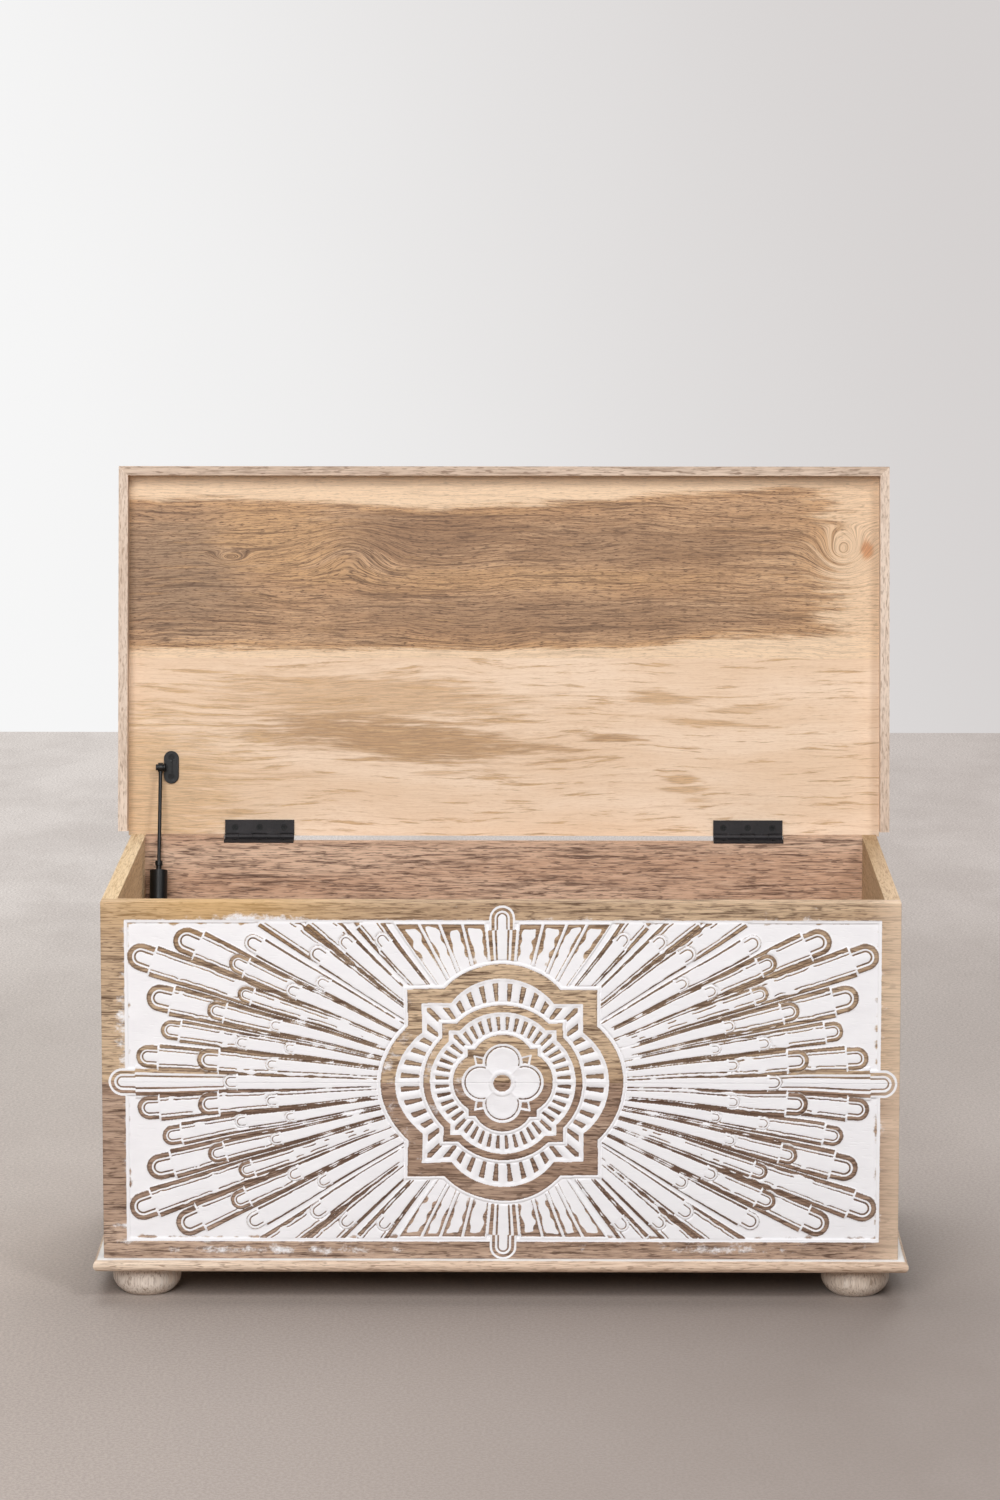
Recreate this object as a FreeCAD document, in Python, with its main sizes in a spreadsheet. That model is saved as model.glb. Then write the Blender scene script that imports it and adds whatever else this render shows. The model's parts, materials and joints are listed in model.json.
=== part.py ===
"""Wooden trunk with a carved front, a hinged lid leaning open and a lid strut.

Millimetres. X runs to the right, Y to the back, Z up. The origin is on the floor under the
middle of the whole trunk with its lid open. The box is drawn about its own middle and then moved
there. The lid pieces and the hinge leaves are drawn from the hinge axis with the
lid shut, and the lid pieces are then turned open about that axis.
"""
import FreeCAD, Part
import os
import re

# Driving sizes

SIZES = {
    "box_width": 774,
    "box_depth": 371,
    "wall_height": 353,
    "front_thickness": 18,
    "side_thickness": 15,
    "back_thickness": 16,
    "front_lower_width": 175,
    "side_lower_width": 192,
    "back_lower_width": 170,
    "carving_depth": 2,
    "carving_drop": 0.3,
    "carving_offset": 2,
    "border_side": 22.2,
    "border_edge": 19,
    "medallion_drop": 1,
    "outer_ring_square": 185.2,
    "outer_ring_lobe": 152,
    "outer_ring_offset": 41.6,
    "outer_ring_band": 14.2,
    "middle_ring_square": 117.6,
    "middle_ring_lobe": 124,
    "middle_ring_offset": 15.4,
    "middle_ring_band": 7,
    "inner_ring_square": 67.2,
    "inner_ring_lobe": 61.8,
    "inner_ring_offset": 17.6,
    "floor_thickness": 9,
    "base_thickness": 12,
    "base_projection": 10,
    "base_rail_width": 88,
    "foot_height": 30,
    "foot_diameter": 67,
    "foot_swell": 44,
    "foot_swell_height": 16.5,
    "foot_inset": 39,
    "bolt_diameter": 8,
    "bolt_in_foot": 18,
    "bolt_in_floor": 6,
    "dowel_diameter": 8,
    "dowel_in_face": 9,
    "dowel_in_end": 26,
    "base_screw_diameter": 4,
    "base_screw_head": 8,
    "base_screw_length": 42,
    "fit_clearance": 0.05,
    "hinge_inset": 133,
    "leaf_length": 72,
    "leaf_width": 17.5,
    "leaf_thickness": 2,
    "barrel_diameter": 6.4,
    "hinge_pin_diameter": 3.2,
    "hinge_play": 0.3,
    "hinge_screw_diameter": 3.4,
    "hinge_screw_head": 6.8,
    "hinge_screw_length": 13,
    "hinge_screw_pitch": 25.5,
    "hinge_screw_line": 9.5,
    "axis_setback": 1,
    "lid_thickness": 15,
    "lid_rear_board_width": 185,
    "lid_rear_gap": 1,
    "lid_rest_gap": 0.5,
    "lid_open_angle": 98,
    "rim_thickness": 9.5,
    "rim_lip": 20,
    "rim_clearance": 3.5,
    "rim_setback": 5,
    "nail_diameter": 1.8,
    "nail_length": 28,
    "strut_wall_gap": 15.3,
    "strut_stud_run": 72,
    "strut_stud_drop": 9.5,
    "strut_foot_run": 76,
    "strut_foot_drop": 150,
    "strut_stud_diameter": 4,
    "strut_eye_diameter": 9.6,
    "strut_eye_width": 5,
    "strut_rod_diameter": 3.8,
    "strut_cylinder_diameter": 18.4,
    "strut_cylinder_wall": 1.6,
    "strut_nose_length": 10,
    "strut_end_gap": 1.5,
    "strut_piston_gap": 0.9,
    "strut_rod_gap": 0.5,
    "strut_plate_width": 15.6,
    "strut_plate_height": 34,
    "strut_plate_thickness": 2,
    "strut_screw_diameter": 3.2,
    "strut_screw_head": 6,
    "strut_screw_length": 12,
    "strut_screw_pitch": 20.5,
}

# Lengths that follow from the sizes

DERIVED = {
    # box, from its middle on the floor
    "half_width": "box_width / 2",
    "front_face": "-box_depth / 2",
    "back_face": "box_depth / 2",
    "inner_front": "front_face + front_thickness",
    "inner_back": "back_face - back_thickness",
    "inner_left": "-half_width + side_thickness",
    "inner_right": "half_width - side_thickness",
    "base_top": "foot_height + base_thickness",
    "floor_top": "base_top + floor_thickness",
    "box_top": "base_top + wall_height",
    "front_joint": "base_top + front_lower_width",
    "side_joint": "base_top + side_lower_width",
    "back_joint": "base_top + back_lower_width",
    "base_half_width": "half_width + base_projection",
    "base_half_depth": "box_depth / 2 + base_projection",
    "nose_radius": "base_thickness / 2",
    "foot_x": "half_width - foot_inset",
    "foot_y": "box_depth / 2 - foot_inset",
    "front_wall_middle": "front_face + front_thickness / 2",
    "back_wall_middle": "back_face - back_thickness / 2",
    "side_wall_middle": "half_width - side_thickness / 2",
    # carving on the front, from the middle of the medallion
    "field_half_width": "half_width - border_side",
    "field_half_height": "wall_height / 2 - border_edge",
    "carving_root": "carving_depth * 2",
    "stem_start": "outer_ring_square / 2 + outer_ring_band",
    # hinge, from its axis
    "barrel_radius": "barrel_diameter / 2",
    "leaf_reach": "barrel_radius + hinge_play",
    "axis_y": "back_face + axis_setback",
    "axis_z": "box_top + lid_rest_gap - leaf_reach",
    "notch_floor": "axis_z - leaf_reach",
    "hinge_x": "half_width - hinge_inset",
    "notch_half": "hinge_x + leaf_length / 2 + hinge_play",
    "hinge_screw_cone": "(hinge_screw_head - hinge_screw_diameter) / 2",
    # lid, from the hinge axis with the lid shut
    "lid_under": "leaf_reach",
    "lid_over": "lid_under + lid_thickness",
    "lid_middle": "lid_under + lid_thickness / 2",
    "lid_rear": "-lid_rear_gap",
    "rim_low": "lid_under - rim_lip",
    "rim_height": "lid_thickness + rim_lip",
    "rim_rear": "lid_rear - rim_setback",
    "lid_front": "-(axis_setback + box_depth + rim_clearance)",
    "rim_front": "lid_front - rim_thickness",
    "lid_joint": "lid_rear - lid_rear_board_width",
    "lid_half": "half_width + rim_clearance",
    "rim_half": "lid_half + rim_thickness",
    # the middle of the box from the middle of the whole
    "rear_reach": "axis_y + rim_front * cos(lid_open_angle) + lid_over * sin(lid_open_angle)",
    "box_middle": "(base_half_depth - rear_reach) / 2",
    # strut pivots from the hinge axis, and lengths between them
    "strut_x": "inner_left + strut_wall_gap",
    "stud_y": "-strut_stud_run",
    "stud_z": "lid_under - strut_stud_drop",
    "stud_open_y": "stud_y * cos(lid_open_angle) + stud_z * sin(lid_open_angle)",
    "stud_open_z": "-stud_y * sin(lid_open_angle) + stud_z * cos(lid_open_angle)",
    "strut_back_run": "stud_open_y + strut_foot_run",
    "strut_rise": "stud_open_z + strut_foot_drop",
    "strut_open_length": "sqrt(strut_back_run ^ 2 + strut_rise ^ 2)",
    "strut_shut_length": "sqrt((strut_foot_run - strut_stud_run) ^ 2 + (stud_z + strut_foot_drop) ^ 2)",
    "strut_stroke": "strut_open_length - strut_shut_length",
    "strut_lean": "atan(strut_back_run / strut_rise)",
    # strut pieces, along the strut from its lower pivot
    "eye_radius": "strut_eye_diameter / 2",
    "rod_radius": "strut_rod_diameter / 2",
    "cylinder_radius": "strut_cylinder_diameter / 2",
    "cylinder_bore": "cylinder_radius - strut_cylinder_wall",
    "cylinder_start": "strut_eye_diameter",
    "cylinder_floor": "cylinder_start + strut_cylinder_wall * 2",
    "nose_end": "strut_shut_length - eye_radius - strut_end_gap",
    "cylinder_end": "nose_end - strut_nose_length",
    "collar_start": "cylinder_end + strut_nose_length / 2",
    "plug_start": "cylinder_end - strut_nose_length",
    "piston_length": "strut_nose_length / 2",
    "piston_start": "cylinder_floor + strut_piston_gap + strut_stroke",
    "eye_half": "strut_eye_width / 2",
    "stud_radius": "strut_stud_diameter / 2",
    "lug_near": "strut_x + eye_half + hinge_play",
    "lug_far": "lug_near + strut_plate_thickness",
    "strut_screw_cone": "(strut_screw_head - strut_screw_diameter) / 2",
    "rod_end": "strut_open_length - stud_radius - strut_rod_gap",
}

# Each petal: its tip across and up, as shares of half the field, and its head's radius as a share
# of half the field's height
PETAL_SHARES = (
    (0.973, 0.165, 0.070), (0.906, 0.338, 0.061), (0.944, 0.552, 0.082), (0.993, 0.816, 0.083),
    (0.869, 0.918, 0.082), (0.681, 0.899, 0.053), (0.678, 1.138, 0.075), (0.545, 1.138, 0.072),
    (0.399, 1.120, 0.070), (0.246, 0.950, 0.050), (0.189, 0.950, 0.047), (0.132, 0.950, 0.045),
    (0.076, 0.950, 0.044),
)
LEVEL_PETAL_SHARES = (1.048, 0, 0.086)
UPRIGHT_PETAL_SHARES = (0, 1.105, 0.082)
STEM_SHARE = 0.9
DOWEL_SHARES = (0.25, 0.75)
BASE_SCREW_SHARES = (-0.3, 0, 0.3)
NAIL_SHARES = (-0.4, 0, 0.4)
KNUCKLES = 5
SCREW_STEPS = (-1, 0, 1)
PLATE_STEPS = (-0.5, 0.5)
DRIVE_DEPTH_SHARE, DRIVE_LENGTH_SHARE, DRIVE_WIDTH_SHARE = 0.7, 0.3, 0.07
STUD_HEAD_SHARE = 1.6
NOSE_SHARE, COLLAR_SHARE = 1.5, 2

UPRIGHT = FreeCAD.Rotation()
ALONG = {
    "x": FreeCAD.Rotation(FreeCAD.Vector(0, 1, 0), 90),
    "y": FreeCAD.Rotation(FreeCAD.Vector(1, 0, 0), -90),
    "z": UPRIGHT,
}
QUARTER_TURN = FreeCAD.Rotation(FreeCAD.Vector(0, 0, 1), 90)
SEAM_TURN = FreeCAD.Rotation(FreeCAD.Vector(0, 0, 1), 45)

doc = FreeCAD.newDocument("trunk")
sheet = doc.addObject("Spreadsheet::Sheet", "sizes")
for row, (alias, number) in enumerate(SIZES.items(), 1):
    sheet.set(f"A{row}", alias)
    sheet.set(f"B{row}", str(number))
    sheet.setAlias(f"B{row}", alias)
doc.recompute()

nodes = []


# Building blocks

def expand(expression):
    """The expression with every size and derived length written out from the sheet."""
    def swap(match):
        word = match[0]
        if word in DERIVED:
            return f"({expand(DERIVED[word])})"
        return f"sizes.{word}" if word in SIZES else word
    return re.sub(r"[A-Za-z_]\w*", swap, str(expression))


def bind(shape, **expressions):
    """Tie properties of a shape to expressions; x, y and z are its place."""
    for name, expression in expressions.items():
        path = f"Placement.Base.{name}" if name in ("x", "y", "z") else name
        shape.setExpression(path, expand(expression))
    return shape


def block(x, y, z):
    """A box between pairs of limits along X, Y and Z."""
    shape = doc.addObject("Part::Box", "block")
    return bind(shape, Length=f"{x[1]} - ({x[0]})", Width=f"{y[1]} - ({y[0]})",
                Height=f"{z[1]} - ({z[0]})", x=x[0], y=y[0], z=z[0])


def turned(axis, start, radius, length):
    """A round bar along an axis from its start point."""
    shape = doc.addObject("Part::Cylinder", "bar")
    shape.Placement.Rotation = ALONG[axis]
    return bind(shape, Radius=radius, Height=length, x=start[0], y=start[1], z=start[2])


def tapered(axis, start, first_radius, last_radius, length):
    """A cone along an axis from its start point."""
    shape = doc.addObject("Part::Cone", "cone")
    shape.Placement.Rotation = ALONG[axis]
    return bind(shape, Radius1=first_radius, Radius2=last_radius, Height=length,
                x=start[0], y=start[1], z=start[2])


def mitred(outer_half, inner_half, width, height, start, turn=UPRIGHT):
    """A rail whose ends slope from a long outer face to a shorter inner one."""
    shape = doc.addObject("Part::Wedge", "mitre")
    shape.Placement.Rotation = turn
    return bind(shape, Xmin=f"-({outer_half[0]})", Xmax=outer_half[1], X2min=f"-({inner_half[0]})",
                X2max=inner_half[1], Ymin="0", Ymax=width, Zmin="0", Zmax=height, Z2min="0",
                Z2max=height, x=start[0], y=start[1], z=start[2])


def joined(shapes):
    """Several shapes as one."""
    if len(shapes) == 1:
        return shapes[0]
    fuse = doc.addObject("Part::MultiFuse", "joined")
    fuse.Shapes = shapes
    return fuse


def less(shape, tools):
    """A shape with the tools taken out of it."""
    cut = doc.addObject("Part::Cut", "cut")
    cut.Base = shape
    cut.Tool = joined(tools)
    return cut


def within(shape, limit):
    """The part of a shape inside a limit."""
    common = doc.addObject("Part::Common", "common")
    common.Base = shape
    common.Tool = limit
    return common


def node(label, shape, y="0"):
    """Name a finished piece and move it, with its own Y, to where the box stands."""
    bind(shape, y=f"{y} + box_middle")
    shape.Label = label
    nodes.append(shape)
    return shape


def at_hinge(label, shape):
    """A finished piece drawn from the hinge axis that stays with the box."""
    return node(label, bind(shape, z="axis_z"), "axis_y")


def on_lid(label, shape):
    """A finished piece of the lid, turned open about the hinge axis."""
    shape.Placement.Rotation = FreeCAD.Rotation(FreeCAD.Vector(1, 0, 0), -1)
    shape.setExpression("Placement.Rotation.Angle", expand("-lid_open_angle"))
    return at_hinge(label, shape)


def on_strut(label, shape):
    """A finished piece of the strut, drawn upright from its lower pivot and leaned back."""
    shape.Placement.Rotation = FreeCAD.Rotation(FreeCAD.Vector(1, 0, 0), -1)
    shape.setExpression("Placement.Rotation.Angle", expand("-strut_lean"))
    return node(label, bind(shape, x="strut_x", z="axis_z - strut_foot_drop"), "axis_y - strut_foot_run")


def point_along(axis, point, step):
    """A point moved by a step along one axis."""
    moved = list(point)
    index = "xyz".index(axis)
    moved[index] = f"{point[index]} + ({step})"
    return moved


def screw(axis, sense, face, diameter, head, cone, length, spare="0"):
    """A countersunk screw entering a face; sense is 1 or -1 along the axis."""
    wide, thin = f"{head} / 2 + {spare}", f"{diameter} / 2 + {spare}"
    if sense > 0:
        return [tapered(axis, face, wide, thin, cone), turned(axis, face, thin, length)]
    return [tapered(axis, point_along(axis, face, f"-({cone})"), thin, wide, cone),
            turned(axis, point_along(axis, face, f"-({length})"), thin, length)]


def drive_slots(axis, sense, face, head, cone):
    """The two crossed slots in a screw head."""
    depth = f"{cone} * {DRIVE_DEPTH_SHARE}"
    sides = [side for side in "xyz" if side != axis]
    slots = []
    for long_side in sides:
        limits = {}
        for side, centre in zip("xyz", face):
            share = DRIVE_LENGTH_SHARE if side == long_side else DRIVE_WIDTH_SHARE
            half = f"{head} * {share}"
            limits[side] = (f"{centre} - ({half})", f"{centre} + ({half})")
        centre = face["xyz".index(axis)]
        limits[axis] = (centre, f"{centre} + {depth}") if sense > 0 else (f"{centre} - ({depth})", centre)
        slots.append(block(limits["x"], limits["y"], limits["z"]))
    return slots


def screw_group(axis, sense, faces, diameter, head, cone, length):
    """A set of slotted screws as separate solids of one piece."""
    bodies, slots = [], []
    for face in faces:
        bodies += screw(axis, sense, face, diameter, head, cone, length)
        slots += drive_slots(axis, sense, face, head, cone)
    return less(joined(bodies), slots)


def screw_holes(axis, sense, faces, diameter, head, cone, length):
    """The holes a set of screws sits in."""
    tools = []
    for face in faces:
        depth = f"{length} + fit_clearance"
        tools += screw(axis, sense, face, diameter, head, cone, depth, "fit_clearance")
    return tools


# Box walls: the front covers the ends of the sides, the back stands between them

BOARDS = {
    "upper": {"front": ("front_joint", "box_top"), "side": ("side_joint", "box_top"),
              "back": ("back_joint", "box_top")},
    "lower": {"front": ("base_top", "front_joint"), "side": ("base_top", "side_joint"),
              "back": ("base_top", "back_joint")},
}
HOLE_RADIUS = "dowel_diameter / 2 + fit_clearance"
DOWEL_RADIUS = "dowel_diameter / 2"
DOWEL_LENGTH = "dowel_in_face + dowel_in_end"
HOLE_LENGTH = "dowel_in_face + dowel_in_end + fit_clearance * 2"

SIDES = {"left": -1, "right": 1}


def share_height(limits, share):
    """A height at a share of the way up between two limits."""
    return f"{limits[0]} + ({limits[1]} - ({limits[0]})) * {share}"


def front_dowels(board, sense, radius, length, spare):
    """Dowels from the back of the front into the end of one side board."""
    return [turned("y", (f"side_wall_middle * {sense}", f"inner_front - dowel_in_face - {spare}",
                         share_height(BOARDS[board]["side"], share)), radius, length)
            for share in DOWEL_SHARES]


def back_dowels(board, side, radius, length, spare):
    """Dowels from the inner face of one side into the end of a back board."""
    start = {"left": "inner_left - dowel_in_face", "right": "inner_right - dowel_in_end"}[side]
    return [turned("x", (f"{start} - {spare}", "back_wall_middle",
                         share_height(BOARDS[board]["back"], share)), radius, length)
            for share in DOWEL_SHARES]


def all_dowels(maker, radius, length, spare, keys):
    """The dowels or holes of both boards at both ends."""
    return [bar for board in BOARDS for key in keys for bar in maker(board, key, radius, length, spare)]


FRONT_KEYS, BACK_KEYS = tuple(SIDES.values()), tuple(SIDES)
HOLE = (HOLE_RADIUS, HOLE_LENGTH, "fit_clearance")
DOWEL = (DOWEL_RADIUS, DOWEL_LENGTH, "0")

base_screw_points = {
    "front": [(f"box_width * {share}", "front_wall_middle", "foot_height") for share in BASE_SCREW_SHARES],
    "back": [(f"box_width * {share}", "back_wall_middle", "foot_height") for share in BASE_SCREW_SHARES],
    "left": [("-side_wall_middle", "0", "foot_height")],
    "right": [("side_wall_middle", "0", "foot_height")],
}
BASE_SCREW = ("base_screw_diameter", "base_screw_head", "(base_screw_head - base_screw_diameter) / 2",
              "base_screw_length")


def base_holes(side):
    """The holes of the screws that come up through one base moulding."""
    return screw_holes("z", 1, base_screw_points[side], *BASE_SCREW)


hinge_centres = {"left": "-hinge_x", "right": "hinge_x"}
HINGE_SCREW = ("hinge_screw_diameter", "hinge_screw_head", "hinge_screw_cone", "hinge_screw_length")
STRUT_SCREW = ("strut_screw_diameter", "strut_screw_head", "strut_screw_cone", "strut_screw_length")
BOX_LEAF_FACE = "-leaf_reach + leaf_thickness"
LID_LEAF_FACE = "leaf_reach - leaf_thickness"


def hinge_screw_points(side, face, from_y="0", from_z="0"):
    """Where the screws of one leaf enter its open face."""
    return [(f"{hinge_centres[side]} + hinge_screw_pitch * {step}", f"{from_y} - hinge_screw_line",
             f"{from_z} + {face}") for step in SCREW_STEPS]


wall_screw_points = [("inner_left + strut_plate_thickness", "axis_y - strut_foot_run",
                      f"axis_z - strut_foot_drop + strut_screw_pitch * {step}") for step in PLATE_STEPS]

# Carving of the front: petals round a medallion, standing in a ground that is cut away

CARVED_FIELD = {"upper": ("front_joint", "box_top - border_edge"),
                "lower": ("base_top + border_edge", "front_joint")}
CARVED_SENSE = {"upper": 1, "lower": -1}
FOUR_SIDES = ((1, 0), (-1, 0), (0, 1), (0, -1))


def petal(across, up, head):
    """One petal: a stem that widens from the medallion's rim to a round head."""
    tip_across, tip_up = f"field_half_width * {across}", f"field_half_height * {up}"
    radius, height = f"field_half_height * {head}", "carving_root - carving_drop"
    head_at = f"(sqrt(({tip_across}) ^ 2 + ({tip_up}) ^ 2) - {radius})"
    half = f"{radius} * {STEM_SHARE}"
    root_half = f"{half} * stem_start / {head_at}"
    stem = doc.addObject("Part::Wedge", "stem")
    stem.Placement.Rotation = FreeCAD.Rotation(FreeCAD.Vector(1, 0, 0), 90)
    bind(stem, Xmin=f"-{root_half}", Xmax=root_half, X2min=f"-{half}", X2max=half,
         Ymin="stem_start", Ymax=head_at, Zmin="0", Zmax=height, Z2min="0", Z2max=height, y="carving_root")
    shape = joined([stem, turned("y", ("0", "carving_drop", head_at), radius, height)])
    shape.Placement.Rotation = FreeCAD.Rotation(FreeCAD.Vector(0, 1, 0), 1)
    shape.setExpression("Placement.Rotation.Angle", expand(f"atan2({tip_across}; {tip_up})"))
    return bind(shape, x="carving_offset", y="front_face", z="front_joint")


def four_lobed(ring, drop, inset="0"):
    """A square with a round lobe on each side, standing in the ground to a drop below the face."""
    half, radius = f"{ring}_ring_square / 2 - {inset}", f"{ring}_ring_lobe / 2 - {inset}"
    start, end = f"front_face + {drop}", "front_face + carving_root"
    square = block((f"carving_offset - ({half})", f"carving_offset + {half}"), (start, end),
                   (f"front_joint - ({half})", f"front_joint + {half}"))
    lobes = []
    for across, up in FOUR_SIDES:
        centre = (f"carving_offset + {ring}_ring_offset * {across}", start,
                  f"front_joint + {ring}_ring_offset * {up}")
        lobe = turned("y", centre, radius, f"carving_root - {drop}")
        lobe.Placement.Rotation = ALONG["y"].multiply(SEAM_TURN)
        lobes.append(lobe)
    return joined([square] + lobes)


def ring_band(ring):
    """A ring of the medallion."""
    return less(four_lobed(ring, "carving_drop"), [four_lobed(ring, "0", f"{ring}_ring_band")])


def ground(board):
    """What is cut away from one board's field, round the petals and the medallion."""
    over = CARVED_SENSE[board]
    shape = block(("carving_offset - field_half_width", "carving_offset + field_half_width"),
                  ("front_face", "front_face + carving_depth"), CARVED_FIELD[board])
    across, up, head = UPRIGHT_PETAL_SHARES
    petals = [petal(across, up * over, head)]
    for right in SIDES.values():
        for across, up, head in (LEVEL_PETAL_SHARES,) + PETAL_SHARES:
            petals.append(petal(across * right, up * over, head))
    shape = less(less(shape, petals), [four_lobed("outer", "medallion_drop")])
    return less(less(shape, [ring_band("outer")]), [ring_band("middle"), four_lobed("inner", "carving_drop")])


# Front boards
for board, limits in BOARDS.items():
    panel = block(("-half_width", "half_width"), ("front_face", "inner_front"), limits["front"])
    panel = less(panel, [ground(board)])
    tools = all_dowels(front_dowels, *HOLE, FRONT_KEYS)
    if board == "lower":
        tools += base_holes("front")
    node(f"front_{board}_board", less(panel, tools))

# Side boards
for side, sense in SIDES.items():
    outer, inner = f"half_width * {sense}", f"inner_{side}"
    across = (outer, inner) if sense < 0 else (inner, outer)
    for board, limits in BOARDS.items():
        panel = block(across, ("inner_front", "back_face"), limits["side"])
        tools = [bar for level in BOARDS for bar in front_dowels(level, sense, *HOLE)]
        tools += [bar for level in BOARDS for bar in back_dowels(level, side, *HOLE)]
        if board == "lower":
            tools += base_holes(side)
        if side == "left":
            tools += screw_holes("x", -1, wall_screw_points, *STRUT_SCREW)
        node(f"{side}_side_{board}_board", less(panel, tools))

# Back boards, the upper one lowered along the hinges
for board, limits in BOARDS.items():
    panel = block(("inner_left", "inner_right"), ("inner_back", "back_face"), limits["back"])
    tools = all_dowels(back_dowels, *HOLE, BACK_KEYS)
    if board == "lower":
        tools += base_holes("back")
    else:
        through = ("inner_back - hinge_play", "back_face + hinge_play")
        tools.append(block(("-notch_half", "notch_half"), through, ("notch_floor", "box_top + hinge_play")))
        for side in hinge_centres:
            points = hinge_screw_points(side, BOX_LEAF_FACE, "axis_y", "axis_z")
            tools += screw_holes("z", -1, points, *HINGE_SCREW)
    node(f"back_{board}_board", less(panel, tools))

node("front_corner_dowels", joined(all_dowels(front_dowels, *DOWEL, FRONT_KEYS)))
node("rear_corner_dowels", joined(all_dowels(back_dowels, *DOWEL, BACK_KEYS)))

# Bottom panel, base mouldings and feet

FEET = {"front_left": (-1, -1), "front_right": (1, -1), "rear_left": (-1, 1), "rear_right": (1, 1)}


def foot_bolts(spare):
    """The four bolts, or the holes they sit in."""
    start = f"foot_height - bolt_in_foot - {spare}"
    length = f"bolt_in_foot + base_thickness + bolt_in_floor + {spare} * 2"
    return [turned("z", (f"foot_x * {across}", f"foot_y * {along}", start),
                   f"bolt_diameter / 2 + {spare}", length) for across, along in FEET.values()]


floor_block = block(("inner_left", "inner_right"), ("inner_front", "inner_back"), ("base_top", "floor_top"))
node("bottom_panel", less(floor_block, foot_bolts("fit_clearance")))

BASE_RAILS = {
    "front": ("base_half_width", "-base_half_width", "-base_half_depth", 0),
    "right": ("base_half_depth", "base_half_width", "-base_half_depth", 90),
    "back": ("base_half_width", "base_half_width", "base_half_depth", 180),
    "left": ("base_half_depth", "-base_half_width", "base_half_depth", 270),
}
for side, (half, corner_x, corner_y, angle) in BASE_RAILS.items():
    turn = FreeCAD.Rotation(FreeCAD.Vector(0, 0, 1), angle)
    rail = block(("0", f"{half} * 2"), ("nose_radius", "base_rail_width"), ("0", "base_thickness"))
    nose = turned("x", ("0", "nose_radius", "nose_radius"), "nose_radius", f"{half} * 2")
    limit = mitred(("0", f"{half} * 2"), ("-base_rail_width", f"{half} * 2 - base_rail_width"),
                   "base_rail_width", "base_thickness", ("0", "0", "0"))
    moulding = within(joined([rail, nose]), limit)
    moulding.Placement.Rotation = turn
    bind(moulding, x=corner_x, y=corner_y, z="foot_height")
    node(f"base_{side}_moulding", less(moulding, foot_bolts("fit_clearance") + base_holes(side)))

for corner, (across, along) in FEET.items():
    bun = doc.addObject("Part::Ellipsoid", "bun")
    bind(bun, Radius1="foot_swell / 2", Radius2="foot_diameter / 2", Radius3="foot_diameter / 2",
         x=f"foot_x * {across}", y=f"foot_y * {along}", z="foot_swell_height")
    slab = block((f"foot_x * {across} - foot_diameter", f"foot_x * {across} + foot_diameter"),
                 (f"foot_y * {along} - foot_diameter", f"foot_y * {along} + foot_diameter"),
                 ("0", "foot_height"))
    node(f"foot_{corner}", less(within(bun, slab), foot_bolts("fit_clearance")))

node("foot_bolts", joined(foot_bolts("0")))
base_screw_faces = [point for points in base_screw_points.values() for point in points]
node("base_screws", screw_group("z", 1, base_screw_faces, *BASE_SCREW))

# Hinges: five knuckles on a pin, three on the box leaf and two on the lid leaf


def knuckle(side, index, radius, grow):
    """One knuckle of a hinge, grown or shrunk at both ends."""
    pitch = f"leaf_length / {KNUCKLES}"
    start = f"{hinge_centres[side]} - leaf_length / 2 + {pitch} * {index} - ({grow})"
    return turned("x", (start, "0", "0"), radius, f"{pitch} + ({grow}) * 2")


def hinge_leaf(side, own, heights, screw_sense, screw_face, bore):
    """One leaf: a plate with its own knuckles, cleared round those of the other leaf."""
    centre = hinge_centres[side]
    across = (f"{centre} - leaf_length / 2", f"{centre} + leaf_length / 2")
    plate = block(across, ("-leaf_width", "0"), heights)
    others = [index for index in range(KNUCKLES) if index not in own]
    room = [knuckle(side, index, "leaf_reach + hinge_play", "hinge_play / 2") for index in others]
    body = less(plate, room)
    body = joined([body] + [knuckle(side, index, "barrel_radius", "-hinge_play / 2") for index in own])
    tools = [turned("x", (f"{centre} - leaf_length", "0", "0"), bore, "leaf_length * 2")]
    tools += screw_holes("z", screw_sense, hinge_screw_points(side, screw_face), *HINGE_SCREW)
    return less(body, tools)


for side, centre in hinge_centres.items():
    at_hinge(f"hinge_{side}_box_leaf",
             hinge_leaf(side, (0, 2, 4), ("-leaf_reach", BOX_LEAF_FACE), -1, BOX_LEAF_FACE,
                        "hinge_pin_diameter / 2"))
    on_lid(f"hinge_{side}_lid_leaf",
           hinge_leaf(side, (1, 3), (LID_LEAF_FACE, "leaf_reach"), 1, LID_LEAF_FACE,
                      "hinge_pin_diameter / 2 + fit_clearance"))
    pin_start = (f"{centre} - leaf_length / 2", "axis_y", "axis_z")
    pin = turned("x", pin_start, "hinge_pin_diameter / 2", "leaf_length")
    node(f"hinge_{side}_pin", pin, "axis_y")

box_faces = [point for side in hinge_centres for point in hinge_screw_points(side, BOX_LEAF_FACE)]
lid_faces = [point for side in hinge_centres for point in hinge_screw_points(side, LID_LEAF_FACE)]
at_hinge("hinge_box_screws", screw_group("z", -1, box_faces, *HINGE_SCREW))
on_lid("hinge_lid_screws", screw_group("z", 1, lid_faces, *HINGE_SCREW))

# Lid: two boards with a mitred rim nailed round three sides

plate_x = "lug_far - strut_plate_thickness + strut_plate_width / 2"
plate_screw_points = [(plate_x, f"stud_y + strut_screw_pitch * {step}", "lid_under - strut_plate_thickness")
                      for step in PLATE_STEPS]
front_middle, rear_middle = "(lid_front + lid_joint) / 2", "(lid_joint + lid_rear) / 2"


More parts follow.
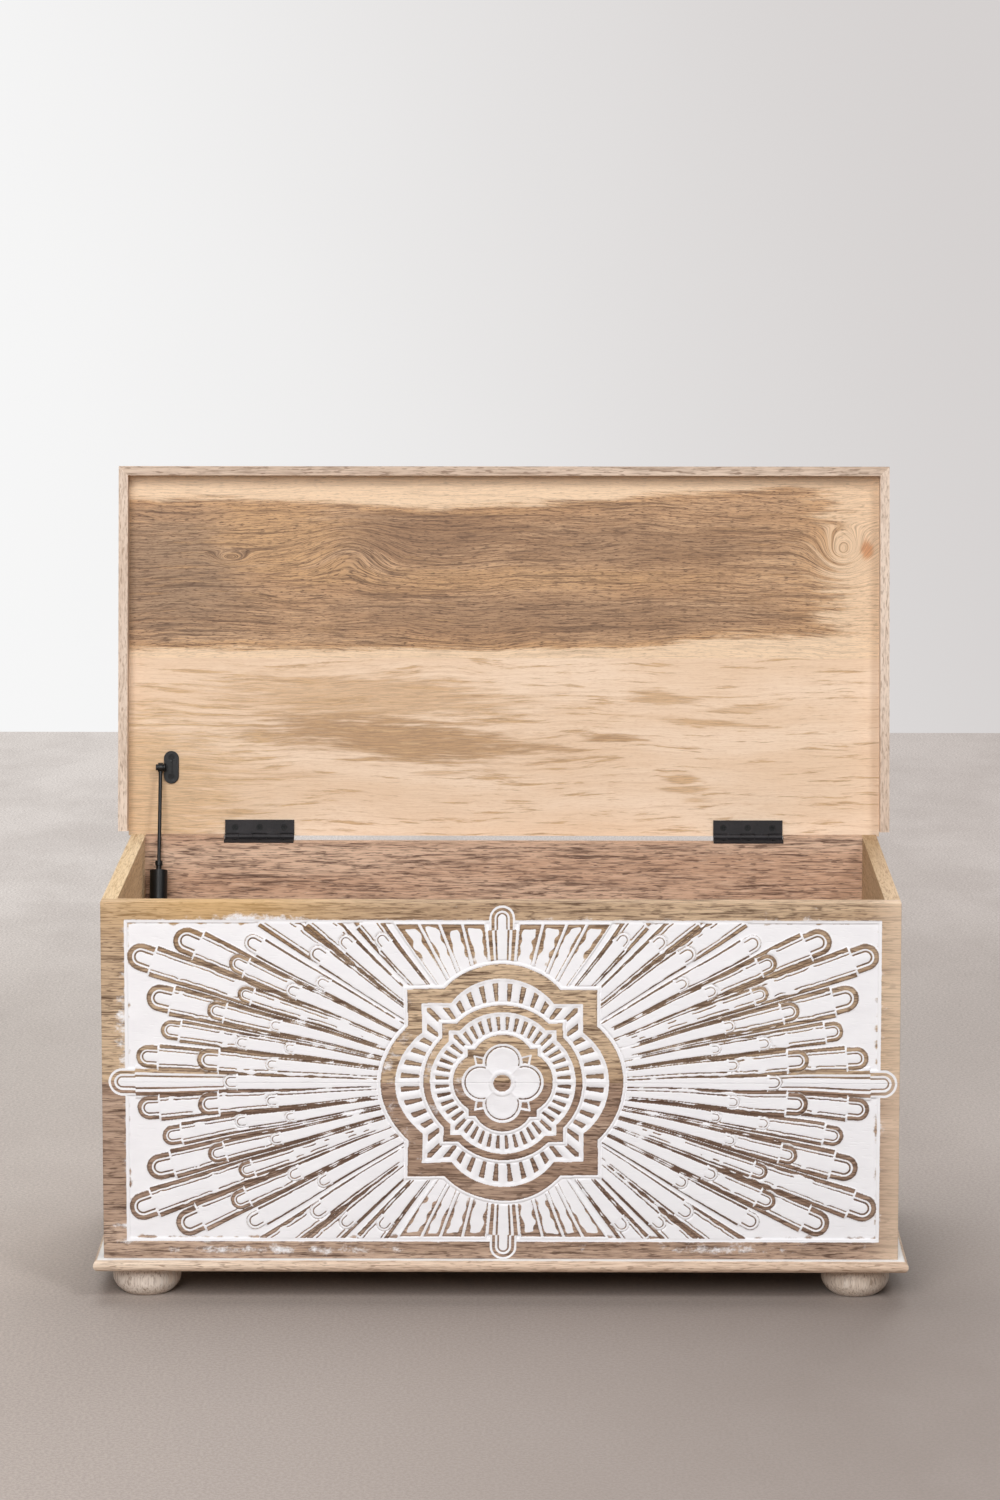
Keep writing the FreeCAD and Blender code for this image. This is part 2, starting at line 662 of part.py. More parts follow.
def rim_nails(spare):
    """The nails of the rim, or the holes they sit in."""
    radius, length = f"nail_diameter / 2 + {spare}", f"nail_length + {spare}"
    nails = [turned("y", (f"lid_half * 2 * {share}", "rim_front", "lid_middle"), radius, length)
             for share in NAIL_SHARES]
    for place in (front_middle, rear_middle):
        nails.append(turned("x", ("-rim_half", place, "lid_middle"), radius, length))
        nails.append(turned("x", (f"rim_half - ({length})", place, "lid_middle"), radius, length))
    return nails


lid_across, lid_heights = ("-lid_half", "lid_half"), ("lid_under", "lid_over")
on_lid("lid_front_board", less(block(lid_across, ("lid_front", "lid_joint"), lid_heights),
                               rim_nails("fit_clearance")))
on_lid("lid_rear_board", less(block(lid_across, ("lid_joint", "lid_rear"), lid_heights),
                              rim_nails("fit_clearance") + screw_holes("z", 1, lid_faces, *HINGE_SCREW)
                              + screw_holes("z", 1, plate_screw_points, *STRUT_SCREW)))

front_rim = mitred(("rim_half", "rim_half"), ("lid_half", "lid_half"), "rim_thickness", "rim_height",
                   ("0", "rim_front", "rim_low"))
on_lid("lid_front_rim", less(front_rim, rim_nails("fit_clearance")))
right_rim = mitred(("0", "rim_rear - rim_front"), ("-rim_thickness", "rim_rear - rim_front"),
                   "rim_thickness", "rim_height", ("rim_half", "rim_front", "rim_low"), QUARTER_TURN)
on_lid("lid_right_rim", less(right_rim, rim_nails("fit_clearance")))
left_rim = mitred(("rim_rear - rim_front", "0"), ("rim_rear - rim_front", "-rim_thickness"),
                  "rim_thickness", "rim_height", ("-rim_half", "rim_front", "rim_low"),
                  QUARTER_TURN.inverted())
on_lid("lid_left_rim", less(left_rim, rim_nails("fit_clearance")))
on_lid("lid_rim_nails", joined(rim_nails("0")))

# Strut fittings: an oval plate with a lug on the lid, an oval plate with a stud on the wall


def oval(axis, centre, along, start, thickness):
    """An oval plate lying square to an axis, long side along another axis."""
    half_straight = "(strut_plate_height - strut_plate_width) / 2"
    limits = {}
    for side, middle in zip("xyz", centre):
        half = half_straight if side == along else "strut_plate_width / 2"
        limits[side] = (f"{middle} - ({half})", f"{middle} + ({half})")
    limits[axis] = (start, f"{start} + {thickness}")
    ends = []
    for sense in SIDES.values():
        place = point_along(along, centre, f"{half_straight} * {sense}")
        place["xyz".index(axis)] = start
        ends.append(turned(axis, place, "strut_plate_width / 2", thickness))
    return [block(limits["x"], limits["y"], limits["z"])] + ends


lid_plate = oval("z", (plate_x, "stud_y", "0"), "y", "lid_under - strut_plate_thickness",
                 "strut_plate_thickness")
lug_half = "strut_stud_diameter"
lug_along = (f"stud_y - {lug_half}", f"stud_y + {lug_half}")
lug = [block(("lug_near", "lug_far"), lug_along, ("stud_z", "lid_under")),
       turned("x", ("lug_near", "stud_y", "stud_z"), lug_half, "strut_plate_thickness")]
lid_bracket_holes = screw_holes("z", 1, plate_screw_points, *STRUT_SCREW)
lid_bracket_holes.append(turned("x", ("lug_near - hinge_play", "stud_y", "stud_z"), "stud_radius",
                                "strut_plate_thickness + hinge_play * 2"))
on_lid("strut_lid_bracket", less(joined(lid_plate + lug), lid_bracket_holes))
stud_start = "strut_x - eye_half - hinge_play"
stud_head_start = (f"{stud_start} - stud_radius", "stud_y", "stud_z")
lid_stud = [turned("x", (stud_start, "stud_y", "stud_z"), "stud_radius", f"lug_far - ({stud_start})"),
            turned("x", stud_head_start, f"stud_radius * {STUD_HEAD_SHARE}", "stud_radius")]
on_lid("strut_lid_stud", joined(lid_stud))
on_lid("strut_lid_screws", screw_group("z", 1, plate_screw_points, *STRUT_SCREW))

wall_centre = ("inner_left", "axis_y - strut_foot_run", "axis_z - strut_foot_drop")
wall_plate = oval("x", wall_centre, "z", "inner_left", "strut_plate_thickness")
wall_stud_start = ("inner_left + strut_plate_thickness",) + wall_centre[1:]
wall_stud_length = "strut_wall_gap - strut_plate_thickness - eye_half - hinge_play * 2"
wall_plate.append(turned("x", wall_stud_start, "stud_radius", wall_stud_length))
node("strut_wall_bracket", less(joined(wall_plate), screw_holes("x", -1, wall_screw_points, *STRUT_SCREW)))
node("strut_wall_screws", screw_group("x", -1, wall_screw_points, *STRUT_SCREW))

# Strut, drawn upright from its lower pivot: the cylinder and the rod that slides in it


def upright(start, radius, end):
    """A round bar along the strut between two places on it."""
    return turned("z", ("0", "0", start), radius, f"{end} - ({start})")


lower_eye = turned("x", ("-eye_half", "0", "0"), "eye_radius", "strut_eye_width")
on_strut("strut_cylinder_eye", joined([lower_eye, upright("0", "rod_radius", "cylinder_start")]))
tube = upright("cylinder_start", "cylinder_radius", "cylinder_end")
tube_bore = upright("cylinder_floor", "cylinder_bore", "cylinder_end + hinge_play")
on_strut("strut_cylinder", less(tube, [tube_bore]))
plug = [upright("plug_start", "cylinder_bore", "cylinder_end"),
        upright("cylinder_end", f"rod_radius * {NOSE_SHARE}", "collar_start"),
        upright("collar_start", f"rod_radius * {COLLAR_SHARE}", "nose_end")]
on_strut("strut_cylinder_nose",
         less(joined(plug), [upright("plug_start - hinge_play", "rod_radius + fit_clearance",
                                     "nose_end + hinge_play")]))
on_strut("strut_piston", less(upright("piston_start", "cylinder_bore - fit_clearance * 2",
                                      "piston_start + piston_length"),
                              [upright("piston_start + piston_length / 2", "rod_radius",
                                       "piston_start + piston_length * 2")]))
bore = turned("x", ("-strut_eye_width", "0", "strut_open_length"), "stud_radius + fit_clearance",
              "strut_eye_width * 2")
upper_eye = less(turned("x", ("-eye_half", "0", "strut_open_length"), "eye_radius", "strut_eye_width"),
                 [bore, upright("strut_open_length - eye_radius * 2", "rod_radius",
                                "rod_end")])
on_strut("strut_rod_eye", upper_eye)
rod_start = "piston_start + piston_length / 2"
on_strut("strut_rod", less(upright(rod_start, "rod_radius", "rod_end"), [bore]))

# Check and write every piece

doc.recompute()
faults = [shape.Name for shape in doc.Objects if {"Invalid", "Error"} & set(shape.State)]
faults += [piece.Label for piece in nodes if piece.Shape.isNull() or not piece.Shape.isValid()]
if faults:
    raise SystemExit(f"faulty shapes: {faults}")
os.makedirs("parts", exist_ok=True)
for piece in nodes:
    piece.Shape.exportStep(f"parts/{piece.Label}.step")
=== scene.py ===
import json
import math

import bpy
import numpy as np
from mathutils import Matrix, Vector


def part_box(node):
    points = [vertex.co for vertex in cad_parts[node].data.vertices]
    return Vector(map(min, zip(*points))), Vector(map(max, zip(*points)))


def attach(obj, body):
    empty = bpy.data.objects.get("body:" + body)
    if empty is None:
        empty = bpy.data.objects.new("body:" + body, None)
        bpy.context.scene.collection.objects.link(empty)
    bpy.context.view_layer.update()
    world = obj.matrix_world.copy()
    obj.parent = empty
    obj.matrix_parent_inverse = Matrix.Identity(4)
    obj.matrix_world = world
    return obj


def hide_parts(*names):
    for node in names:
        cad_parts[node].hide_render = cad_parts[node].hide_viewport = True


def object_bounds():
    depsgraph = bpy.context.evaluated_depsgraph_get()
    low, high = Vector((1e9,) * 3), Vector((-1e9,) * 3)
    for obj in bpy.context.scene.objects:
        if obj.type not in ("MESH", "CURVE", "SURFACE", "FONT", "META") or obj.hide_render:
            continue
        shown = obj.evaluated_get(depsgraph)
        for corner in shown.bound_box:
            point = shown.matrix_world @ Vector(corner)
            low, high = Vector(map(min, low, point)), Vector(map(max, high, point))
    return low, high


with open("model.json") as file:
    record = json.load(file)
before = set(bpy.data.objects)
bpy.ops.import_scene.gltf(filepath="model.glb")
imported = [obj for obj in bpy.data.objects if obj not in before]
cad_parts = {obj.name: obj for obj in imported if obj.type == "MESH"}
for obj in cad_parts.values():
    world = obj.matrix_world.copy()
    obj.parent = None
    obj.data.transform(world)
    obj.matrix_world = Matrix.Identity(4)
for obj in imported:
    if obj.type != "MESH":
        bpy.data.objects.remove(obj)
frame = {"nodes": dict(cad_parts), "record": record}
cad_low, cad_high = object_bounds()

MM = 0.001

# Places taken from the frame
upper_low, upper_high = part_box("front_upper_board")
lower_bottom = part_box("front_lower_board")[0].z
lid_low, lid_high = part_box("lid_front_board")
rear_low, rear_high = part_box("lid_rear_board")
base_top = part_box("base_front_moulding")[1].z
half_width = upper_high.x
half_depth = -upper_low.y
joint_height = upper_low.z
board_rise = upper_high.z - joint_height


def colour(red, green, blue):
    """A colour as it shows on a screen, turned into the linear one that a shader takes."""
    linear = []
    for part in (red, green, blue):
        share = part / 255
        linear.append(share / 12.92 if share <= 0.04045 else ((share + 0.055) / 1.055) ** 2.4)
    return (*linear, 1)


def scaled(tone, factor):
    """A colour made paler or darker by one factor."""
    return (*(part * factor for part in tone[:3]), 1)


class Finish:
    """A material whose nodes are added one after another."""

    def __init__(self, name):
        self.material = bpy.data.materials.new(name)
        self.material.use_nodes = True
        self.tree = self.material.node_tree
        self.shader = self.tree.nodes["Principled BSDF"]
        self.place = self.add("TexCoord").outputs["Object"]

    def add(self, kind, inputs=None, **settings):
        node = self.tree.nodes.new("ShaderNode" + kind)
        for name, value in settings.items():
            setattr(node, name, value)
        for socket, value in (inputs or {}).items():
            self.feed(node.inputs[socket], value)
        return node

    def feed(self, socket, value):
        if isinstance(value, bpy.types.NodeSocket):
            self.tree.links.new(value, socket)
        else:
            socket.default_value = value

    def set(self, **values):
        for name, value in values.items():
            self.feed(self.shader.inputs[name.replace("_", " ")], value)

    def axes(self):
        return self.add("SeparateXYZ", {0: self.place}).outputs

    def vector(self, x, y, z):
        return self.add("CombineXYZ", {0: x, 1: y, 2: z}).outputs[0]

    def stretched(self, scale, shift=(0, 0, 0)):
        inputs = {"Vector": self.place, "Scale": scale, "Location": shift}
        return self.add("Mapping", inputs).outputs[0]

    def noise(self, vector, scale, detail, rough, twist=0.0):
        inputs = {"Vector": vector, "Scale": scale, "Detail": detail, "Roughness": rough, "Distortion": twist}
        return self.add("TexNoise", inputs).outputs["Fac"]

    def ramp(self, value, start, end, low=0.0, high=1.0):
        """Low up to start, high from end on, and smooth between them."""
        inputs = {"Value": value, "From Min": start, "From Max": end, "To Min": low, "To Max": high}
        return self.add("MapRange", inputs, interpolation_type="SMOOTHSTEP").outputs[0]

    def share_of(self, value, low, high):
        """Where a value lies between two bounds: 0 at the low one and 1 at the high one."""
        inputs = {"Value": value, "From Min": low, "From Max": high, "To Min": 0.0, "To Max": 1.0}
        return self.add("MapRange", inputs, clamp=False).outputs[0]

    def mix(self, share, first, second):
        """A share of the second colour over the first, by the mix node's sockets for colours."""
        return self.add("Mix", {0: share, 6: first, 7: second}, data_type="RGBA").outputs[2]

    def bump(self, height, distance):
        return self.add("Bump", {"Height": height, "Distance": distance, "Strength": 1.0}).outputs[0]

    def calculate(self, operation, *values):
        return self.add("Math", dict(enumerate(values)), operation=operation).outputs[0]

    def plus(self, first, second):
        return self.calculate("ADD", first, second)

    def minus(self, first, second):
        return self.calculate("SUBTRACT", first, second)

    def times(self, first, second):
        return self.calculate("MULTIPLY", first, second)

    def times_plus(self, first, second, added):
        return self.calculate("MULTIPLY_ADD", first, second, added)

    def larger(self, first, second):
        return self.calculate("MAXIMUM", first, second)

    def mound(self, across, up, middle, spread):
        """A soft hill, 1 at its middle, used for knots and patches of colour."""
        off_across = self.calculate("DIVIDE", self.minus(across, middle[0]), spread[0])
        off_up = self.calculate("DIVIDE", self.minus(up, middle[1]), spread[1])
        square = self.times_plus(off_across, off_across, self.times(off_up, off_up))
        return self.calculate("EXPONENT", self.times(square, -1.0))


# Plain wood
grain_share = 0.06
pore_share = 0.16
wood_roughness = 0.6
wood_relief = 0.12 * MM
wash_tone = colour(236, 232, 226)


def drawn_out(axis, share):
    """The scale of a pattern that is drawn out along one axis."""
    return tuple(share if name == axis else 1 for name in "XYZ")


def grain(finish, axis, seed, tones, streak):
    """Colour and height of plain wood with its grain along one axis."""
    dark, middle, pale = tones
    shift = (seed, seed, seed)
    lines = finish.stretched(drawn_out(axis, grain_share), shift)
    dots = finish.stretched(drawn_out(axis, pore_share), shift)
    broad = finish.noise(lines, scale=16, detail=3, rough=0.55, twist=0.6)
    rings = finish.noise(lines, scale=300, detail=5, rough=0.68, twist=0.8)
    fibre = finish.noise(lines, scale=760, detail=3, rough=0.6)
    pores = finish.noise(dots, scale=520, detail=2, rough=0.5)
    shade = finish.mix(finish.ramp(broad, 0.36, 0.64), pale, middle)
    shade = finish.mix(finish.ramp(rings, 0.46, 0.68, high=streak), shade, dark)
    shade = finish.mix(finish.ramp(fibre, 0.34, 0.46, low=0.45, high=0), shade, pale)
    shade = finish.mix(finish.ramp(fibre, 0.48, 0.72, high=0.65), shade, dark)
    shade = finish.mix(finish.ramp(pores, 0.56, 0.68, high=0.7), shade, dark)
    height = finish.minus(finish.times(fibre, 0.5), finish.ramp(pores, 0.57, 0.70))
    return shade, height


def wood(name, axis, seed, tones, streak=0.5, wash=0.0, paint=None):
    """Plain wood, with a share of white wash rubbed into it and any paint over that."""
    finish = Finish(name)
    shade, height = grain(finish, axis, seed, tones, streak)
    if wash:
        patches = finish.stretched(drawn_out(axis, pore_share), (seed, 0, seed))
        rubbed = finish.noise(patches, scale=38, detail=6, rough=0.65)
        washed = finish.ramp(rubbed, 0.78 - wash * 0.5, 1.0 - wash * 0.5, high=0.85)
        shade = finish.mix(washed, shade, wash_tone)
    if paint:
        shade = paint(finish, shade)
    finish.set(Base_Color=shade, Roughness=wood_roughness, Normal=finish.bump(height, wood_relief))
    return finish.material


# Carving: the drawing on the front, measured from its middle
carving_middle = half_width * 0.005
field_half_width = half_width * 0.9425
field_top = board_rise * 0.893
field_bottom = (joint_height - lower_bottom) * 0.893
field_half_height = (field_top + field_bottom) / 2
ground_depth = 2.0 * MM
border_half = 1.4 * MM
grid_step = 0.8 * MM
sample_shares = (-0.25, 0.25)

# How a hand-held chisel wanders, and how unevenly the paint is worn
wander_seeds = (3, 5)
wander_pitch = 110 * MM
wander_height = 1.5 * MM
wear_pitches = {11: 34 * MM, 12: 13 * MM}
wear_height = 0.8
ripple_count = 6

# Each petal: how far across and up its tip lies, as shares of the half field, and its head's
# radius as a share of the half field height
double_petal_shares = [
    (0.993, 0.816, 0.083), (0.869, 0.918, 0.082), (0.724, 0.766, 0.058), (0.944, 0.552, 0.082),
    (0.703, 0.571, 0.049), (0.785, 0.465, 0.057), (0.906, 0.338, 0.061), (0.973, 0.165, 0.070),
    (0.812, 0.143, 0.069), (0.678, 1.138, 0.075), (0.545, 1.138, 0.072), (0.399, 1.120, 0.070),
]
single_petal_shares = [
    (0.681, 0.899, 0.053), (0.508, 0.838, 0.050), (0.431, 0.911, 0.044), (0.330, 0.929, 0.044),
    (0.492, 0.642, 0.040), (0.571, 0.593, 0.042), (0.619, 0.367, 0.036), (0.711, 0.257, 0.038),
    (0.581, 0.220, 0.032), (0.630, 0.118, 0.036), (0.743, 0.0, 0.045),
]
level_petal_shares = (1.048, 0.0, 0.086)
upright_petal_shares = (0.0, 1.112, 0.081)
petal_shares = {"double": double_petal_shares, "single": single_petal_shares, "axis": [level_petal_shares]}
shoulder_share = 0.9
stem_share = 1.20
upright_stem_share = 1.34

# A petal's section, from its edge (0) to its middle line (1): height as a share of the ground's
# depth, paint, and how dark it is: painted shade at its edge and in its grooves, darker bare wood in its band
double_section = {
    "edge_shares": (0.0, 0.05, 0.08, 0.30, 0.33, 0.35, 0.46, 0.49, 0.51, 0.59, 0.64, 1.0),
    "rise_shares": (-0.6, -0.3, -0.1, -0.1, -0.3, -0.15, -0.15, -0.3, -0.5, -0.5, -0.3, -0.18),
    "paint_shares": (0.2, 0.1, 0.0, 0.0, 0.0, 1.0, 1.0, 0.3, 0.0, 0.0, 1.0, 1.0),
    "dark_shares": (0.9, 0.7, 0.35, 0.35, 0.8, 0.0, 0.0, 0.5, 0.8, 0.8, 0.0, 0.0),
}
single_section = {
    "edge_shares": (0.0, 0.05, 0.10, 0.28, 0.31, 0.34, 0.44, 0.48, 1.0),
    "rise_shares": (-0.6, -0.3, -0.15, -0.15, -0.3, -0.5, -0.5, -0.3, -0.18),
    "paint_shares": (0.2, 0.4, 1.0, 1.0, 0.4, 0.0, 0.0, 1.0, 1.0),
    "dark_shares": (0.8, 0.4, 0.0, 0.0, 0.4, 0.8, 0.8, 0.0, 0.0),
}
axis_section = {
    "edge_shares": (0.0, 0.02, 0.15, 0.19, 0.38, 0.42, 0.54, 0.58, 0.66, 0.72, 1.0),
    "rise_shares": (-0.3, -0.15, -0.15, -0.1, -0.1, -0.15, -0.15, -0.4, -0.4, -0.3, -0.18),
    "paint_shares": (0.6, 1.0, 1.0, 0.0, 0.0, 1.0, 1.0, 0.1, 0.1, 1.0, 1.0),
    "dark_shares": (0.4, 0.0, 0.0, 0.2, 0.2, 0.0, 0.0, 0.6, 0.6, 0.0, 0.0),
}
sections = {"double": double_section, "single": single_section, "axis": axis_section}

# A stem's section: a bare strip that narrows towards the middle and is painted darker beside the ridge as
# shadow, then a white ridge, then a thin dark line of painted shade that dies out; a thin painted shadow line
# runs along its edge
strip_shares = {"double": 0.30, "single": 0.22}
strip_shadow_start = 1.6 * MM
strip_shadow_end = 0.4 * MM
ridge_width = 1.8 * MM
line_width = 1.2 * MM
# Width of the painted shadow line round each petal
shadow_line_width = 1.0 * MM
least_half = 0.4 * MM

# The flutes above and below the medallion: the angles of the ridges between them, how near the
# border they are worn most, how far inside it their bare wood begins and is full, and where the
# ridge and the groove beside it end
flute_ridge_degrees = (6.0, 14.2, 21.5, 27.3, 33.8)
flute_worn_start = 9 * MM
flute_worn_end = 3 * MM
flute_bare_wander = 12 * MM
flute_bare_start = 46 * MM
flute_bare_full = 24 * MM
flute_ridge = 1.3 * MM
flute_groove_start = 1.6 * MM
flute_groove_end = 2.5 * MM

# The medallion's rings: half the square's side, the lobes' radius and how far out they sit, the
# band's width, and the bars inside it: where they start and end, and how wide they are there
medallion_rings = [
    {"square": 92.6 * MM, "lobe": 76.0 * MM, "offset": 41.6 * MM, "band": 14.2 * MM,
     "bars": {"start": 2.2 * MM, "end": 20.5 * MM, "wide": 2.4 * MM, "narrow": 1.3 * MM}},
    {"square": 58.8 * MM, "lobe": 62.0 * MM, "offset": 15.4 * MM, "band": 7.0 * MM,
     "bars": {"start": 2.0 * MM, "end": 15.5 * MM, "wide": 1.7 * MM, "narrow": 0.9 * MM}},
    {"square": 33.6 * MM, "lobe": 30.9 * MM, "offset": 17.6 * MM, "band": 0, "bars": None},
]
bead_width = 2.4 * MM
bead_groove = 1.3 * MM
band_groove = 0.9 * MM
speckle_shares = (0.7, 1.1)
shade_share = 0.5
bar_count = 44
bar_groove_outside = 0.6 * MM
bar_groove_inside = 0.5 * MM
least_reed = 1 * MM

# The rosette: four lobes, four leaves between them, a diagonal cross and a round button
rosette_lobe = 16.5 * MM
rosette_offset = 20.5 * MM
lobe_groove = 1.4 * MM
lobe_dish_start = 1 * MM
lobe_dish_end = 9 * MM
rosette_leaf = 6.0 * MM
rosette_leaf_half = 9.0 * MM
rosette_leaf_at = 28.5 * MM
leaf_edge = 1.2 * MM
leaf_cut = 0.8 * MM
cross_half = 1.1 * MM
cross_reach = 16 * MM
button_ring = 12.6 * MM
button = 8.1 * MM
button_groove = 1.1 * MM

# Where white paint is smeared over the frame: across and up from the middle, and how far it reaches
smear_shares = [
    (-0.965, 0.28, 0.02, 0.22), (-0.965, -0.80, 0.035, 0.014), (-0.965, -0.89, 0.035, 0.020),
    (-0.62, 0.92, 0.12, 0.03), (-0.55, -0.94, 0.35, 0.03), (0.55, -0.94, 0.20, 0.03),
]
smudge_reach = 6 * MM
bare_edge_reach = 3.2 * MM


def eased(value, start, end):
    """0 up to start, 1 from end on, and smooth between them."""
    share = np.clip((value - start) / (end - start), 0, 1)
    return share * share * (3 - 2 * share)


def ripple(across, up, seed, pitch, height):
    """A slow, uneven wander."""
    total = np.zeros_like(across)
    turns = np.random.default_rng(seed).uniform(0, 2 * math.pi, (ripple_count, 2))
    for turn, phase in turns:
        total += np.sin((across * math.cos(turn) + up * math.sin(turn)) * 2 * math.pi / pitch + phase)
    return total * height / len(turns)


class Carving:
    """The front over a grid of points: how high, how painted and how dark each one is, the darkness being
    partly darker bare wood and partly painted shade.
    """

    layers = ("height", "paint", "dark")

    def __init__(self, across, up):
        across_seed, up_seed = wander_seeds
        self.across = across + ripple(across, up, across_seed, wander_pitch, wander_height)
        self.up = up + ripple(across, up, up_seed, wander_pitch, wander_height)
        inside_ends = np.minimum(field_top - up, field_bottom + up)
        self.inside = np.minimum(field_half_width - abs(across), inside_ends)
        self.worn = sum(ripple(across, up, seed, pitch, wear_height) for seed, pitch in wear_pitches.items())
        for layer in self.layers:
            setattr(self, layer, np.zeros_like(across))

    def lay(self, depth, height, paint, dark=0.0):
        """Puts one more shape over what is there, wherever the depth inside it is above 0."""
        for layer, value in (("height", height * ground_depth), ("paint", paint), ("dark", dark)):
            setattr(self, layer, np.where(depth > 0, value, getattr(self, layer)))

    def border(self):
        """The plain frame with its smears of paint, the painted ground and the line between them."""
        smudge = 0.34 * np.exp(-np.maximum(-self.inside, 0) / smudge_reach)
        self.paint = 0.06 + smudge + 0.20 * self.worn
        for across, up, wide, tall in smear_shares:
            off_across = self.across / half_width - across
            off_up = self.up / board_rise - up
            self.paint += 0.34 * np.exp(-(off_across / wide) ** 2 - (off_up / tall) ** 2)
        bare_edge = np.exp(-np.maximum(self.inside - border_half, 0) / bare_edge_reach)
        self.lay(self.inside, height=-1.0, paint=1.0 - bare_edge * (0.42 + 0.9 * self.worn), dark=0.3)
        self.lay(border_half - abs(self.inside), height=-0.35, paint=1.0)

    def petal(self, tip, kind, stem):
        """One petal, repeated in the four quarters: a round head on a stem that narrows to the middle."""
        tip_across, tip_up, head = tip
        section = sections[kind]
        reach = math.hypot(tip_across, tip_up)
        cosine, sine = tip_across / reach, tip_up / reach
        across, up = abs(self.across), abs(self.up)
        along = across * cosine + up * sine
        aside = abs(up * cosine - across * sine)
        head_at = reach - head
        shoulder = head_at - shoulder_share * head
        on_stem = along < shoulder
        half = np.where(on_stem, stem * head * along / shoulder, head)
        depth = np.where(along > head_at, head - np.hypot(along - head_at, aside), half - aside)
        share = np.clip(depth / np.maximum(half, least_half), 0, 1)
        height, paint, dark = (
            np.interp(share, section["edge_shares"], section[layer])
            for layer in ("rise_shares", "paint_shares", "dark_shares")
        )
        seen = depth
        if kind in strip_shares:
            seen = np.minimum(depth, self.inside - border_half)
            # A painted shadow line round the head, just outside its edge
            self.lay(np.minimum(seen + shadow_line_width, along - shoulder), height=-0.9, paint=0.55, dark=0.5)
            stem_paint, stem_dark = self.stem_section(depth, half, along / shoulder, kind)
            paint = np.where(on_stem, stem_paint, paint)
            dark = np.where(on_stem, stem_dark, dark)
            height = np.where(on_stem, -0.18 - 0.3 * (1 - paint), height)
            tick = (abs(along - shoulder) < ridge_width / 2) & (share < section["edge_shares"][-2])
            paint = np.where(tick, 1.0, paint)
        self.lay(seen, height, paint, dark)

    def stem_section(self, depth, half, along_share, kind):
        """Paint and darkness of a stem, from how deep inside its edge a point lies; the darkness is partly
        painted shadow and partly darker bare wood.
        """
        strip = strip_shares[kind] * half * eased(along_share + 0.3 * self.worn, 0.30, 0.95)
        beyond = depth - strip
        shadow = eased(beyond, -strip_shadow_start, -strip_shadow_end)
        paint = np.where(beyond < 0, 0.10 + 0.22 * self.worn, 1.0)
        dark = np.where(beyond < 0, 0.35 + 0.5 * shadow, 0.0)
        # A painted shadow line along the stem's edge
        shadow_line = depth < shadow_line_width * eased(along_share + 0.4 * self.worn, 0.28, 0.5)
        paint = np.where(shadow_line, 0.0, paint)
        dark = np.where(shadow_line, 0.9, dark)
        # A thin line of painted shade in the double stem's groove
        if kind == "double":
            line = (beyond > ridge_width) & (beyond < ridge_width + line_width)
            line &= along_share + 0.4 * self.worn > 0.70
            paint = np.where(line, 0.0, paint)
            dark = np.where(line, 0.7, dark)
        return paint, dark

    def sunburst(self):
        """All petals but the upright ones, the longest first."""
        petals = []
        for kind, shares in petal_shares.items():
            for tip_across, tip_up, head in shares:
                tip = (tip_across * field_half_width, tip_up * field_half_height, head * field_half_height)
                petals.append((math.hypot(tip[0], tip[1]), tip, kind))
        for _, tip, kind in sorted(petals, reverse=True):
            self.petal(tip, kind, stem_share)

    def flutes(self):
        """Above and below the medallion: white ridges with worn white flutes between them."""
        angle = np.degrees(np.arctan2(abs(self.across), abs(self.up)))
        distance = np.hypot(self.across, self.up)
        for start, end in zip(flute_ridge_degrees, flute_ridge_degrees[1:]):
            half = math.radians(end - start) / 2 * distance
            depth = half - abs(np.radians(angle - (start + end) / 2)) * distance
            depth = np.minimum(depth, self.inside - border_half)
            share = np.clip(depth / half, 0, 1)
            near_edge = eased(self.inside, flute_worn_start, flute_worn_end)
            bare = eased(share + 0.30 * self.worn - 0.25 * near_edge, 0.56, 0.36)
            bare *= eased(self.inside + flute_bare_wander * self.worn, flute_bare_start, flute_bare_full)
            groove = np.minimum(depth - flute_groove_start, flute_groove_end - depth)
            self.lay(depth, height=-0.35 - 0.45 * eased(share, 0.1, 0.5), paint=1.0 - bare, dark=0.25 * bare)
            self.lay(np.minimum(depth, flute_ridge - depth), height=-0.15, paint=1.0)
            # A groove of painted shade beside each ridge
            self.lay(groove, height=-0.9, paint=0.25, dark=0.5)
        tip_across, tip_up, head = upright_petal_shares
        tip = (tip_across * field_half_width, tip_up * field_half_height, head * field_half_height)
        self.petal(tip, "axis", upright_stem_share)

    def ring(self, square, lobe, offset):
        """How far inside a ring's outline each point lies: a square with a round lobe on each side."""
        across, up = abs(self.across), abs(self.up)
        inside = np.minimum(square - across, square - up)
        inside = np.maximum(inside, lobe - np.hypot(across - offset, up))
        return np.maximum(inside, lobe - np.hypot(across, up - offset))

    def bars(self, inside, start, end, wide, narrow):
        """Bare bars between round white reeds, all pointing at the middle."""
        turn = 2 * math.pi / bar_count
        distance = np.hypot(self.across, self.up)
        angle = np.arctan2(self.up, self.across) / turn
        off = abs(angle - np.floor(angle) - 0.5) * turn * distance
        along = np.clip((inside - start) / (end - start), 0, 1)
        half = wide + (narrow - wide) * along
        within = np.minimum(inside - start, end - inside)
        crest = np.clip(off / np.maximum(turn * distance / 2, least_reed), 0, 1)
        groove = np.minimum(within, half + bar_groove_outside - off)
        bar = np.minimum(within, half - bar_groove_inside - off)
        self.lay(inside, height=-0.75 + 0.45 * eased(crest, 0.2, 1.0), paint=1.0)
        # A groove of painted shade round each bar
        self.lay(groove, height=-0.95, paint=0.3, dark=0.9)
        self.lay(bar, height=-0.8, paint=0.05 + 0.15 * self.worn, dark=0.35)

